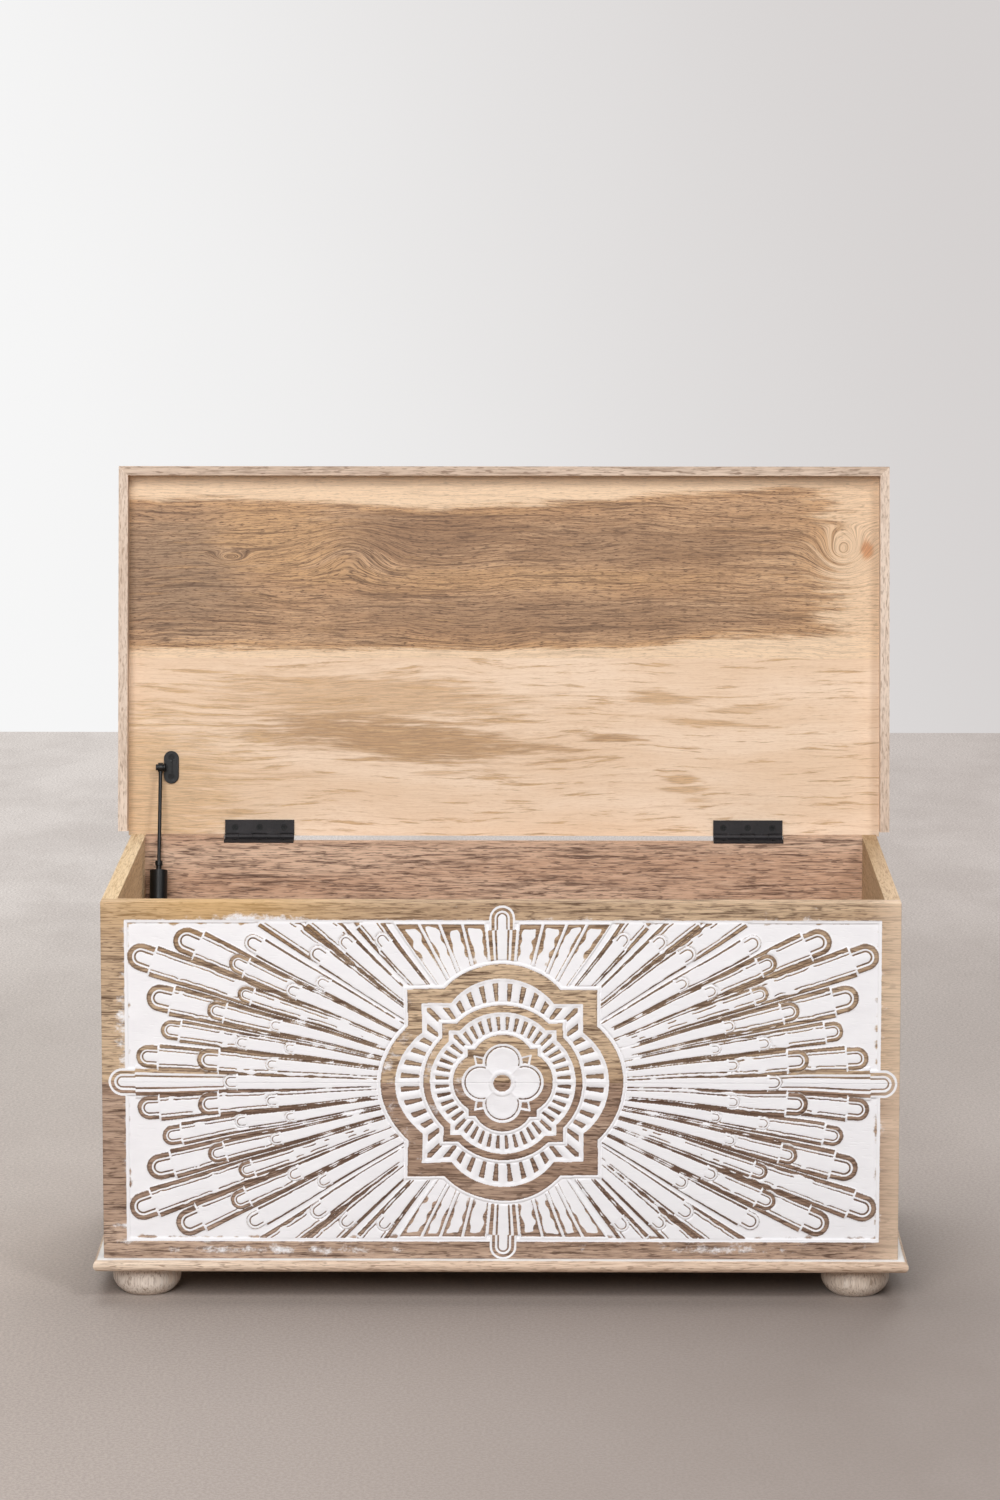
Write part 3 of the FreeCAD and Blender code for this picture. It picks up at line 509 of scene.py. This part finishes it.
    def medallion(self):
        """Rings inside one another: a white bead, a bare band, another bead and the bars."""
        for sizes in medallion_rings:
            band = sizes["band"]
            square = sizes["square"]
            inside = self.ring(square, sizes["lobe"], sizes["offset"])
            speckle_start, speckle_end = speckle_shares
            speckled = 0.22 * eased(-self.across, speckle_start * square, speckle_end * square)
            # Painted shade: the bare band is darker towards its bottom, and the grooves beside the beads are
            # dark
            shaded = 0.20 - 0.18 * eased(self.up, -shade_share * square, shade_share * square)
            self.lay(inside + bead_width + bead_groove, height=-0.9, paint=0.75, dark=0.3)
            self.lay(inside + bead_width, height=-0.25, paint=1.0)
            self.lay(inside, height=-0.6, paint=0.3, dark=0.6)
            band_paint = 0.10 + 0.22 * self.worn + speckled
            self.lay(inside - band_groove, height=-0.06, paint=band_paint, dark=shaded)
            if sizes["bars"]:
                self.lay(inside - band, height=-0.25, paint=1.0)
                self.bars(inside - band - bead_width, **sizes["bars"])

    def rosette(self):
        """The flower in the medallion's middle."""
        across, up = abs(self.across), abs(self.up)
        outward = abs((across + up) / math.sqrt(2) - rosette_leaf_at)
        leaf = rosette_leaf * (1 - outward / rosette_leaf_half) - abs(across - up) / math.sqrt(2)
        self.lay(leaf + leaf_edge, height=-0.3, paint=1.0)
        self.lay(leaf - leaf_cut, height=-0.6, paint=0.15, dark=0.3)
        lobes = np.maximum(
            rosette_lobe - np.hypot(across - rosette_offset, up),
            rosette_lobe - np.hypot(across, up - rosette_offset),
        )
        dish = eased(lobes, lobe_dish_start, lobe_dish_end)
        self.lay(lobes + bead_width, height=-0.2, paint=1.0)
        # A groove of painted shade round the lobes
        self.lay(lobes, height=-0.8, paint=0.15, dark=0.8)
        self.lay(lobes - lobe_groove, height=-0.45 - 0.35 * dish, paint=1.0)
        self.lay(np.minimum(cross_half - abs(across - up), cross_reach - across), height=-0.25, paint=1.0)
        distance = np.hypot(self.across, self.up)
        dome = np.sqrt(np.clip(1 - (distance / button) ** 2, 0, 1))
        self.lay(button_ring - distance, height=-0.15, paint=1.0)
        # A groove of painted shade round the button, whose dome is painted darker towards its edge as shade
        self.lay(button + button_groove - distance, height=-0.8, paint=0.6, dark=0.5)
        self.lay(button - distance, height=-0.7 + 0.7 * dome, paint=0.05, dark=0.2 * (1 - dome))


def drawn_layers(across, up):
    """The whole drawing, each point being the mean of a few samples round it."""
    drawn = dict.fromkeys(Carving.layers, 0)
    for right in sample_shares:
        for above in sample_shares:
            carving = Carving(across + right * grid_step, up + above * grid_step)
            carving.border()
            carving.sunburst()
            carving.flutes()
            carving.medallion()
            carving.rosette()
            for layer in drawn:
                drawn[layer] = drawn[layer] + getattr(carving, layer) / len(sample_shares) ** 2
    return drawn


def carved_board(name, low, high):
    """A front board with the drawing cut into its face."""
    columns = round((high.x - low.x) / grid_step)
    rows = round((high.z - low.z) / grid_step)
    x = np.linspace(low.x, high.x, columns + 1)
    z = np.linspace(low.z, high.z, rows + 1)
    grid_x, grid_z = np.meshgrid(x, z)
    drawn = drawn_layers(grid_x - carving_middle, grid_z - joint_height)
    face = np.column_stack([grid_x.ravel(), (low.y - drawn["height"]).ravel(), grid_z.ravel()])
    number = np.arange((rows + 1) * (columns + 1)).reshape(rows + 1, columns + 1)
    quads = np.column_stack([
        number[:-1, :-1].ravel(), number[:-1, 1:].ravel(), number[1:, 1:].ravel(), number[1:, :-1].ravel(),
    ])
    rim = np.concatenate([number[0, :-1], number[:-1, -1], number[-1, :0:-1], number[:0:-1, 0]])
    behind = face[rim].copy()
    behind[:, 1] = high.y
    first = len(face)
    back = np.arange(first, first + len(rim))
    skirt = np.column_stack([rim, back, np.roll(back, -1), np.roll(rim, -1)])
    polygons = quads.tolist() + skirt.tolist() + [back[::-1].tolist()]
    mesh = bpy.data.meshes.new(name)
    mesh.from_pydata(np.vstack([face, behind]).tolist(), [], polygons)
    smooth = np.zeros(len(polygons), bool)
    smooth[:len(quads)] = True
    mesh.polygons.foreach_set("use_smooth", smooth)
    for label in Carving.layers[1:]:
        layer = mesh.attributes.new(label, "FLOAT", "POINT")
        layer.data.foreach_set("value", np.append(drawn[label].ravel(), np.zeros(len(rim))))
    board = bpy.data.objects.new(name, mesh)
    bpy.context.scene.collection.objects.link(board)
    return board


# The carved front's wood and paint: a pale right end and a warm patch near the upper left corner
pale_end_start = 0.9 * half_width
pale_end_tone = colour(228, 202, 176)
warm_middle = (-0.72 * half_width, upper_high.z)
warm_spread = (0.30 * half_width, 0.16 * board_rise)
warm_tone = colour(214, 170, 104)
# The tone that the dark layer turns the wood to: darker bare wood, and painted shade in the grooves and along
# the edges
cut_and_shade_tone = colour(78, 52, 36)
paint_tones = (colour(250, 249, 251), colour(234, 232, 235))
carved_relief = 0.15 * MM


def carved_finish(name, seed, tones):
    """Brown wood under white paint that is rubbed off the high places."""
    finish = Finish(name)
    shade, height = grain(finish, "X", seed, tones, streak=1.0)
    x, _, z = finish.axes()
    shade = finish.mix(finish.ramp(x, pale_end_start, half_width, high=0.6), shade, pale_end_tone)
    warm = finish.mound(x, z, warm_middle, warm_spread)
    shade = finish.mix(finish.times(warm, 0.6), shade, warm_tone)
    paint, dark = (
        finish.add("Attribute", attribute_name=label).outputs["Fac"] for label in Carving.layers[1:]
    )
    speck = finish.noise(finish.stretched((0.7, 1, 1), (seed, 0, 0)), scale=420, detail=3, rough=0.6)
    cloud = finish.noise(finish.stretched((0.5, 1, 1), (seed, 0, 0)), scale=60, detail=4, rough=0.6)
    rubbed = finish.plus(finish.times(speck, 0.5), finish.times(cloud, 0.5))
    covered = finish.ramp(finish.plus(paint, finish.times_plus(rubbed, 1.1, -0.55)), 0.32, 0.68)
    # Painted shade and darker bare wood, wherever the dark layer says
    shade = finish.mix(finish.ramp(dark, 0.0, 1.0, high=0.85), shade, cut_and_shade_tone)
    shade = finish.mix(covered, shade, finish.mix(cloud, *paint_tones))
    relief = finish.plus(finish.times(height, 0.6), finish.times(covered, 0.8))
    finish.set(Base_Color=shade, Roughness=0.65, Normal=finish.bump(relief, carved_relief))
    return finish.material


# Tones of the woods: dark, middle and pale
wall_tones = (colour(88, 60, 46), colour(206, 166, 138), colour(238, 206, 180))
base_tones = (colour(150, 120, 96), colour(222, 194, 170), colour(240, 220, 198))
foot_tones = (colour(160, 134, 114), colour(222, 204, 186), colour(244, 232, 220))
rim_tones = (colour(164, 138, 116), colour(212, 188, 168), colour(232, 212, 194))
front_rim_tones = (colour(128, 102, 82), colour(200, 174, 152), colour(224, 202, 182))
floor_tones = (colour(130, 100, 74), colour(180, 146, 112), colour(200, 168, 132))
pale_tones = (colour(204, 164, 126), colour(236, 206, 176), colour(244, 218, 192))
heart_tones = (colour(86, 56, 34), colour(190, 148, 108), colour(214, 174, 134))
upper_tones = (colour(94, 68, 46), colour(180, 148, 116), colour(214, 186, 154))
lower_tones = (colour(84, 58, 42), colour(168, 138, 116), colour(206, 178, 156))
left_tones = (colour(184, 150, 106), colour(226, 198, 156), colour(244, 222, 188))
right_tones = (colour(146, 112, 76), colour(184, 154, 116), colour(206, 178, 142))

# White paint left on the base along the foot of the walls
seam_width = 7.0 * MM
seam_fade = 1.5 * MM
seam_wander = 2.5 * MM
seam_depth = 1.5 * MM
seam_white = colour(248, 246, 244)


def seam_paint(finish, shade):
    """White paint in the seam between the base and the walls, with an uneven edge."""
    x, y, z = finish.axes()
    aside = finish.minus(finish.calculate("ABSOLUTE", x), half_width)
    ahead = finish.minus(finish.calculate("ABSOLUTE", y), half_depth)
    away = finish.larger(aside, ahead)
    uneven = finish.noise(finish.place, scale=45, detail=4, rough=0.6)
    away = finish.times_plus(uneven, seam_wander, away)
    near = finish.ramp(away, seam_width + seam_fade, seam_width)
    on_top = finish.ramp(z, base_top - seam_depth, base_top)
    return finish.mix(finish.times(near, on_top), shade, seam_white)


# Metals
black_relief = 0.06 * MM
steel_relief = 0.02 * MM
steel_tones = (colour(150, 148, 146), colour(196, 194, 192))


def black_metal(name, tone, rough):
    """Black paint on metal, a little worn."""
    finish = Finish(name)
    grit = finish.noise(finish.place, scale=900, detail=3, rough=0.6)
    blotch = finish.noise(finish.place, scale=60, detail=3, rough=0.6)
    shade = finish.mix(finish.ramp(blotch, 0.35, 0.7), tone, scaled(tone, 1.6))
    finish.set(Base_Color=shade, Roughness=finish.ramp(grit, 0.2, 0.8, low=rough - 0.1, high=rough + 0.15))
    finish.set(Metallic=0.3, Normal=finish.bump(grit, black_relief))
    return finish.material


def bright_metal(name):
    """Bare steel, brushed along its length."""
    finish = Finish(name)
    brushed = finish.noise(finish.stretched((1, 1, 0.1)), scale=1200, detail=3, rough=0.6)
    finish.set(Base_Color=finish.mix(brushed, *steel_tones))
    finish.set(Metallic=1.0, Roughness=0.32, Normal=finish.bump(brushed, steel_relief))
    return finish.material


# The lid's knots: middle and spread as shares of the board, and how far each pushes the grain
heart_knot_shares = [
    ((0.135, 0.555), (0.022, 0.030), 0.09),
    ((0.295, 0.60), (0.055, 0.13), -0.13),
    ((0.952, 0.57), (0.034, 0.12), 0.24),
]

# The lid's patches: middle and spread as shares of the board, slant, strength and tone
grey_brown = colour(158, 128, 100)
red_brown = colour(140, 104, 74)
golden = colour(206, 162, 114)
honey = colour(218, 182, 138)
tan = colour(212, 174, 132)
brown = colour(192, 154, 114)
heart_patch_shares = [
    ((0.04, 0.45), (0.13, 0.36), 0, 0.8, grey_brown),
    ((0.41, 0.68), (0.14, 0.15), 0, 0.65, red_brown),
    ((0.66, 0.62), (0.20, 0.13), 0, 0.55, red_brown),
    ((0.55, 0.24), (0.34, 0.12), 0, 0.55, red_brown),
    ((0.20, 0.66), (0.09, 0.24), 0, 0.8, golden),
    ((0.50, 0.44), (0.30, 0.06), 0, 0.6, golden),
]
pale_patch_shares = [
    ((0.319, 0.78), (0.22, 0.14), 0.15, 0.75, tan),
    ((0.355, 0.55), (0.20, 0.125), 0.37, 1.0, brown),
    ((0.712, 0.775), (0.050, 0.045), 0.2, 0.9, tan),
    ((0.645, 0.552), (0.045, 0.022), 0, 1.0, brown),
    ((0.560, 0.500), (0.050, 0.016), 0.3, 0.8, brown),
    ((0.772, 0.641), (0.080, 0.018), 0.3, 0.9, tan),
    ((0.820, 0.720), (0.050, 0.020), -0.3, 0.6, tan),
    ((0.735, 0.330), (0.020, 0.030), 0, 0.9, tan),
    ((0.742, 0.270), (0.034, 0.022), 0, 0.8, tan),
    ((0.755, 0.210), (0.024, 0.020), 0, 0.7, tan),
    ((0.412, 0.359), (0.036, 0.018), 0, 0.6, tan),
    ((0.225, 0.348), (0.070, 0.018), 0, 0.4, tan),
    ((0.0, 0.25), (0.16, 0.5), 0, 0.8, honey),
]
lid_relief = 0.10 * MM


def lid_wood(name, low, high, seed, tones, marks, knots, patches, edges=None):
    """A lid board: grain that flows round its knots, and patches of other tones."""
    dark, middle, pale = tones
    finish = Finish(name)
    x, _, z = finish.axes()
    across = finish.share_of(x, low.x, high.x)
    up = finish.share_of(z, low.z, high.z)

    def lines(along_rate, up_rate, height, detail, rough, twist=0.0):
        along = finish.times(across, along_rate)
        rows = finish.times(height, up_rate)
        return finish.noise(finish.vector(along, seed, rows), 1, detail, rough, twist)

    line = finish.times_plus(lines(3.5, 2.0, up, detail=3, rough=0.5), 0.16, up)
    for middle_shares, spread_shares, push in knots:
        line = finish.times_plus(finish.mound(across, up, middle_shares, spread_shares), push, line)
    broad = lines(3.0, 5.0, line, detail=3, rough=0.55)
    rings = lines(4.0, 70.0, line, detail=6, rough=0.72)
    fibre = lines(30.0, 170.0, line, detail=4, rough=0.68, twist=0.5)
    pores = lines(110.0, 280.0, line, detail=2, rough=0.5, twist=0.3)
    ragged = finish.times_plus(lines(9.0, 34.0, line, detail=5, rough=0.7), 2.4, -1.2)
    shade = finish.mix(finish.ramp(broad, 0.36, 0.64), pale, middle)
    patch_lines = finish.ramp(fibre, 0.47, 0.57, high=1.0 - marks)
    for middle_shares, spread_shares, slant, strength, tone in patches:
        level = finish.times_plus(finish.minus(across, middle_shares[0]), slant, up)
        hill = finish.plus(finish.mound(across, level, middle_shares, spread_shares), ragged)
        lined = finish.mix(patch_lines, tone, scaled(tone, 0.48))
        shade = finish.mix(finish.ramp(hill, 0.10, 0.75, high=strength), shade, lined)
    pale_share = 0.0
    if edges:
        shade, pale_share = edges(finish, shade, across, up, ragged)
    marked = finish.times_plus(pale_share, -0.7 * marks, marks)
    for value, start, end, strength in (
        (rings, 0.49, 0.64, 0.66),
        (fibre, 0.46, 0.66, 0.80),
        (pores, 0.55, 0.67, 0.85),
    ):
        mark = finish.times(marked, finish.ramp(value, start, end, high=strength))
        shade = finish.mix(mark, shade, dark)
    finish.set(Base_Color=shade, Roughness=0.55, Normal=finish.bump(finish.minus(fibre, pores), lid_relief))
    return finish.material


# Sapwood of the lid's dark board, and the spot beside its knot
orange = colour(206, 160, 112)
sap = colour(244, 214, 180)
spot_tone = colour(206, 136, 80)
dip_shares = ((0.42, 0.85), (0.20, 1.0))
spot_shares = ((0.984, 0.60), (0.010, 0.06))


def sapwood(finish, shade, across, up, ragged):
    """Pale sapwood along the dark board's top, its bottom and its right end."""
    level = finish.plus(up, finish.times(ragged, 0.055))
    top = finish.times_plus(finish.mound(across, up, *dip_shares), 0.05, level)
    top = finish.minus(top, finish.ramp(across, 0.55, 1.0, high=0.07))
    bottom = finish.minus(level, finish.ramp(across, 0.66, 0.80, low=0.02, high=0.09))
    end = finish.times_plus(ragged, 0.10, across)
    for start, share, tone in ((0.035, 0.75, orange), (0.0, 0.95, sap)):
        at_top = finish.ramp(top, 0.855 - start, 0.905 - start)
        at_bottom = finish.ramp(bottom, 0.06 + start, 0.02 + start)
        at_end = finish.ramp(end, 0.90 - start, 0.965 - start, high=0.85)
        pale = finish.larger(finish.larger(at_top, at_bottom), at_end)
        shade = finish.mix(finish.times(pale, share), shade, tone)
    spot = finish.times_plus(ragged, 0.4, finish.mound(across, up, *spot_shares))
    shade = finish.mix(finish.ramp(spot, 0.2, 0.9, high=0.8), shade, spot_tone)
    return shade, pale


# Finishes by material slot, and those of single pieces
black = black_metal("black metal", colour(34, 31, 33), rough=0.55)
screw_black = black_metal("black screws", colour(5, 5, 6), rough=0.5)
strut_black = black_metal("black strut", colour(14, 14, 15), rough=0.4)
steel = bright_metal("bright steel")
finishes = {
    "wall_wood": wood("wall wood", "X", 2.0, wall_tones, streak=0.95),
    "floor_wood": wood("floor wood", "X", 6.0, floor_tones),
    "base_wood": wood("base wood", "X", 1.0, base_tones, streak=0.45, wash=0.35, paint=seam_paint),
    "foot_wood": wood("foot wood", "Z", 3.0, foot_tones, streak=0.3, wash=0.5),
    "dowel_wood": wood("dowel wood", "Y", 5.0, pale_tones),
    "lid_dark_wood": lid_wood(
        "lid dark wood", lid_low, lid_high, 4.0, heart_tones,
        marks=1.0, knots=heart_knot_shares, patches=heart_patch_shares, edges=sapwood,
    ),
    "lid_pale_wood": lid_wood(
        "lid pale wood", rear_low, rear_high, 9.0, pale_tones,
        marks=0.36, knots=[], patches=pale_patch_shares,
    ),
    "rim_wood": wood("rim wood", "X", 8.0, front_rim_tones, streak=0.5, wash=0.3),
    "hinge_black": black,
    "strut_black": strut_black,
    "rod_steel": strut_black,
    "steel": steel,
}
side_wood = {
    "left": wood("left side wood", "Y", 2.5, left_tones, streak=0.5),
    "right": wood("right side wood", "Y", 4.5, right_tones, streak=0.5),
}
side_rim_wood = wood("side rim wood", "Z", 8.5, rim_tones, streak=0.4, wash=0.3)

# How widely the edges are rounded, by material slot
edge_widths = {
    "wall_wood": 0.8 * MM, "base_wood": 0.8 * MM, "lid_dark_wood": 0.4 * MM, "lid_pale_wood": 0.4 * MM,
    "hinge_black": 0.35 * MM, "strut_black": 0.35 * MM,
}
weld_reach = 0.01 * MM
sharp_degrees = 40


def soften(piece, width):
    """Rounds a piece's sharp edges a little."""
    weld = piece.modifiers.new("weld", "WELD")
    weld.merge_threshold = weld_reach
    bevel = piece.modifiers.new("bevel", "BEVEL")
    bevel.width = width
    bevel.segments = 2
    bevel.limit_method = "ANGLE"
    bevel.angle_limit = math.radians(sharp_degrees)
    weigh = piece.modifiers.new("normals", "WEIGHTED_NORMAL")
    weigh.keep_sharp = True


# Pieces that are shown as they are in the frame
slot_of = {part["node"]: part["material_slot"] for part in frame["record"]["subparts"]}
for name, piece in frame["nodes"].items():
    slot = slot_of[name]
    if slot not in finishes:
        continue
    chosen = finishes[slot]
    if "side" in name and slot == "wall_wood":
        chosen = side_wood[name.split("_")[0]]
    if name in ("lid_left_rim", "lid_right_rim"):
        chosen = side_rim_wood
    if "screws" in name and slot.endswith("black"):
        chosen = screw_black
    piece.data.materials.clear()
    piece.data.materials.append(chosen)
    if slot in edge_widths:
        soften(piece, edge_widths[slot])

# The carved front
for name, source, seed, tones in (
    ("carved_front_upper", "front_upper_board", 3.0, upper_tones),
    ("carved_front_lower", "front_lower_board", 7.0, lower_tones),
):
    board = carved_board(name, *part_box(source))
    board.data.materials.append(carved_finish(name + " wood", seed, tones))
    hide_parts(source)
    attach(board, "carcass")

# Floor and backdrop, in metres
stage_half = 9.0
floor_end = 3.3
backdrop_behind = 7.0
backdrop_foot = -1.5

# Where the floor's tones change from left to right and from front to back. These tones are painted light and
# shade: paler towards the back and on the left, darker at the front and on the right
floor_left = -0.9
floor_right = 0.9
near_right = 0.6
near_end = -0.5
middle_start = 0.6
middle_end = 0.8
far_start = 2.2
glow_start = 0.2
glow_end = 1.9
near_floor = (colour(188, 176, 168), colour(140, 128, 121))
middle_floor = (colour(204, 195, 188), colour(184, 174, 168))
far_floor = (colour(238, 231, 226), colour(216, 207, 202))
cloud_tone = colour(164, 153, 147)
grit_tone = colour(126, 116, 110)
floor_relief = 0.06 * MM

# Where the backdrop's tone changes, along a line that leans with its height. The tone is painted light: white
# on the left, fading to grey on the right
backdrop_left = -1.3
backdrop_right = 1.7
backdrop_lean_share = 0.25
backdrop_wander = 0.4
backdrop_tones = (colour(247, 247, 247), colour(213, 209, 208))


def sheet(name, corners, material):
    mesh = bpy.data.meshes.new(name)
    mesh.from_pydata(corners, [], [range(len(corners))])
    mesh.materials.append(material)
    plane = bpy.data.objects.new(name, mesh)
    bpy.context.scene.collection.objects.link(plane)


def glow(finish, shade, share):
    """Shows a surface's own colour, whatever light falls on it, where the share is 1."""
    own = finish.add("Emission", {"Color": shade, "Strength": 1.0}).outputs[0]
    rays = finish.add("LightPath").outputs
    seen = finish.larger(rays["Is Camera Ray"], rays["Is Glossy Ray"])
    seen = finish.larger(seen, rays["Is Transmission Ray"])
    seen = finish.times(seen, share)
    both = finish.add("MixShader", {0: seen, 1: finish.shader.outputs[0], 2: own}).outputs[0]
    finish.feed(finish.tree.nodes["Material Output"].inputs["Surface"], both)


def floor_finish():
    """Smooth grey concrete with painted light and shade: paler towards the backdrop and on the left, darker
    at the front and on the right.
    """
    finish = Finish("floor")
    x, y, _ = finish.axes()
    cloud = finish.noise(finish.stretched((1, 0.6, 1)), scale=2.6, detail=8, rough=0.66)
    grit = finish.noise(finish.place, scale=300, detail=5, rough=0.8)
    near = finish.mix(finish.ramp(x, floor_left, near_right), *near_floor)
    middle = finish.mix(finish.ramp(x, floor_left, floor_right), *middle_floor)
    far = finish.mix(finish.ramp(x, floor_left, floor_right), *far_floor)
    shade = finish.mix(finish.ramp(y, near_end, middle_start), near, middle)
    shade = finish.mix(finish.ramp(y, middle_end, far_start), shade, far)
    shade = finish.mix(finish.ramp(cloud, 0.40, 0.66, high=0.30), shade, cloud_tone)
    shade = finish.mix(finish.ramp(grit, 0.43, 0.57, high=0.36), shade, grit_tone)
    finish.set(Base_Color=shade, Roughness=0.75, Normal=finish.bump(grit, floor_relief))
    glow(finish, shade, finish.ramp(y, glow_start, glow_end, high=0.9))
    return finish.material


def backdrop_finish():
    """A pale wall with painted light, fading from white on the left to grey on the right."""
    finish = Finish("backdrop")
    x, _, z = finish.axes()
    cloud = finish.noise(finish.place, scale=0.6, detail=3, rough=0.5)
    slope = finish.times_plus(z, backdrop_lean_share, x)
    slope = finish.times_plus(cloud, backdrop_wander, slope)
    shade = finish.mix(finish.ramp(slope, backdrop_left, backdrop_right), *backdrop_tones)
    finish.set(Base_Color=shade, Roughness=0.9)
    glow(finish, shade, 1.0)
    return finish.material


floor_corners = [
    (-stage_half, -stage_half, 0), (stage_half, -stage_half, 0),
    (stage_half, floor_end, 0), (-stage_half, floor_end, 0),
]
backdrop_corners = [
    (-stage_half, backdrop_behind, backdrop_foot), (stage_half, backdrop_behind, backdrop_foot),
    (stage_half, backdrop_behind, stage_half), (-stage_half, backdrop_behind, stage_half),
]
sheet("floor", floor_corners, floor_finish())
sheet("backdrop", backdrop_corners, backdrop_finish())

# Light: places and sizes in metres, powers in watts
world_strength = 0.13
trunk_middle = (0, 0, cad_high.z / 2)
lamps = {
    "front": {"place": (-0.9, -3.8, 2.5), "size": 2.6, "power": 133},
    "key": {"place": (1.7, -2.6, 3.0), "size": 0.9, "power": 48},
    "top": {"place": (-0.3, 0.9, 3.2), "size": 2.4, "power": 56},
    "back": {"place": (0.5, 2.6, 2.4), "size": 2.0, "power": 34},
}


def lamp(name, target, place, size, power):
    """A round lamp that points at its target."""
    data = bpy.data.lights.new(name, "AREA")
    data.shape = "DISK"
    data.size = size
    data.energy = power
    light = bpy.data.objects.new(name, data)
    light.location = place
    away = [start - end for start, end in zip(place, target)]
    level = math.hypot(away[0], away[1])
    light.rotation_euler = (math.atan2(level, away[2]), 0, math.atan2(away[0], -away[1]))
    bpy.context.scene.collection.objects.link(light)


world = bpy.data.worlds.new("studio")
bpy.context.scene.world = world
world.use_nodes = True
background = world.node_tree.nodes["Background"]
background.inputs["Color"].default_value = (1, 1, 1, 1)
background.inputs["Strength"].default_value = world_strength
for name, values in lamps.items():
    lamp(name, trunk_middle, **values)

# Camera: its place in metres, its lens and sensor in millimetres, its tilt and turn in radians
camera_place = (0.03926, -4.9049, 1.3099)
camera_lens = 118.5
camera_sensor = 36
camera_shift_share = -0.10
camera_tilt = 0.1315
camera_turn = 0.0085
camera_data = bpy.data.cameras.new("camera")
camera_data.lens = camera_lens
camera_data.sensor_width = camera_sensor
camera_data.shift_y = camera_shift_share
camera = bpy.data.objects.new("camera", camera_data)
camera.location = camera_place
camera.rotation_euler = (math.pi / 2 - camera_tilt, 0, camera_turn)
bpy.context.scene.collection.objects.link(camera)
bpy.context.scene.camera = camera
bpy.context.scene.view_settings.view_transform = "Standard"
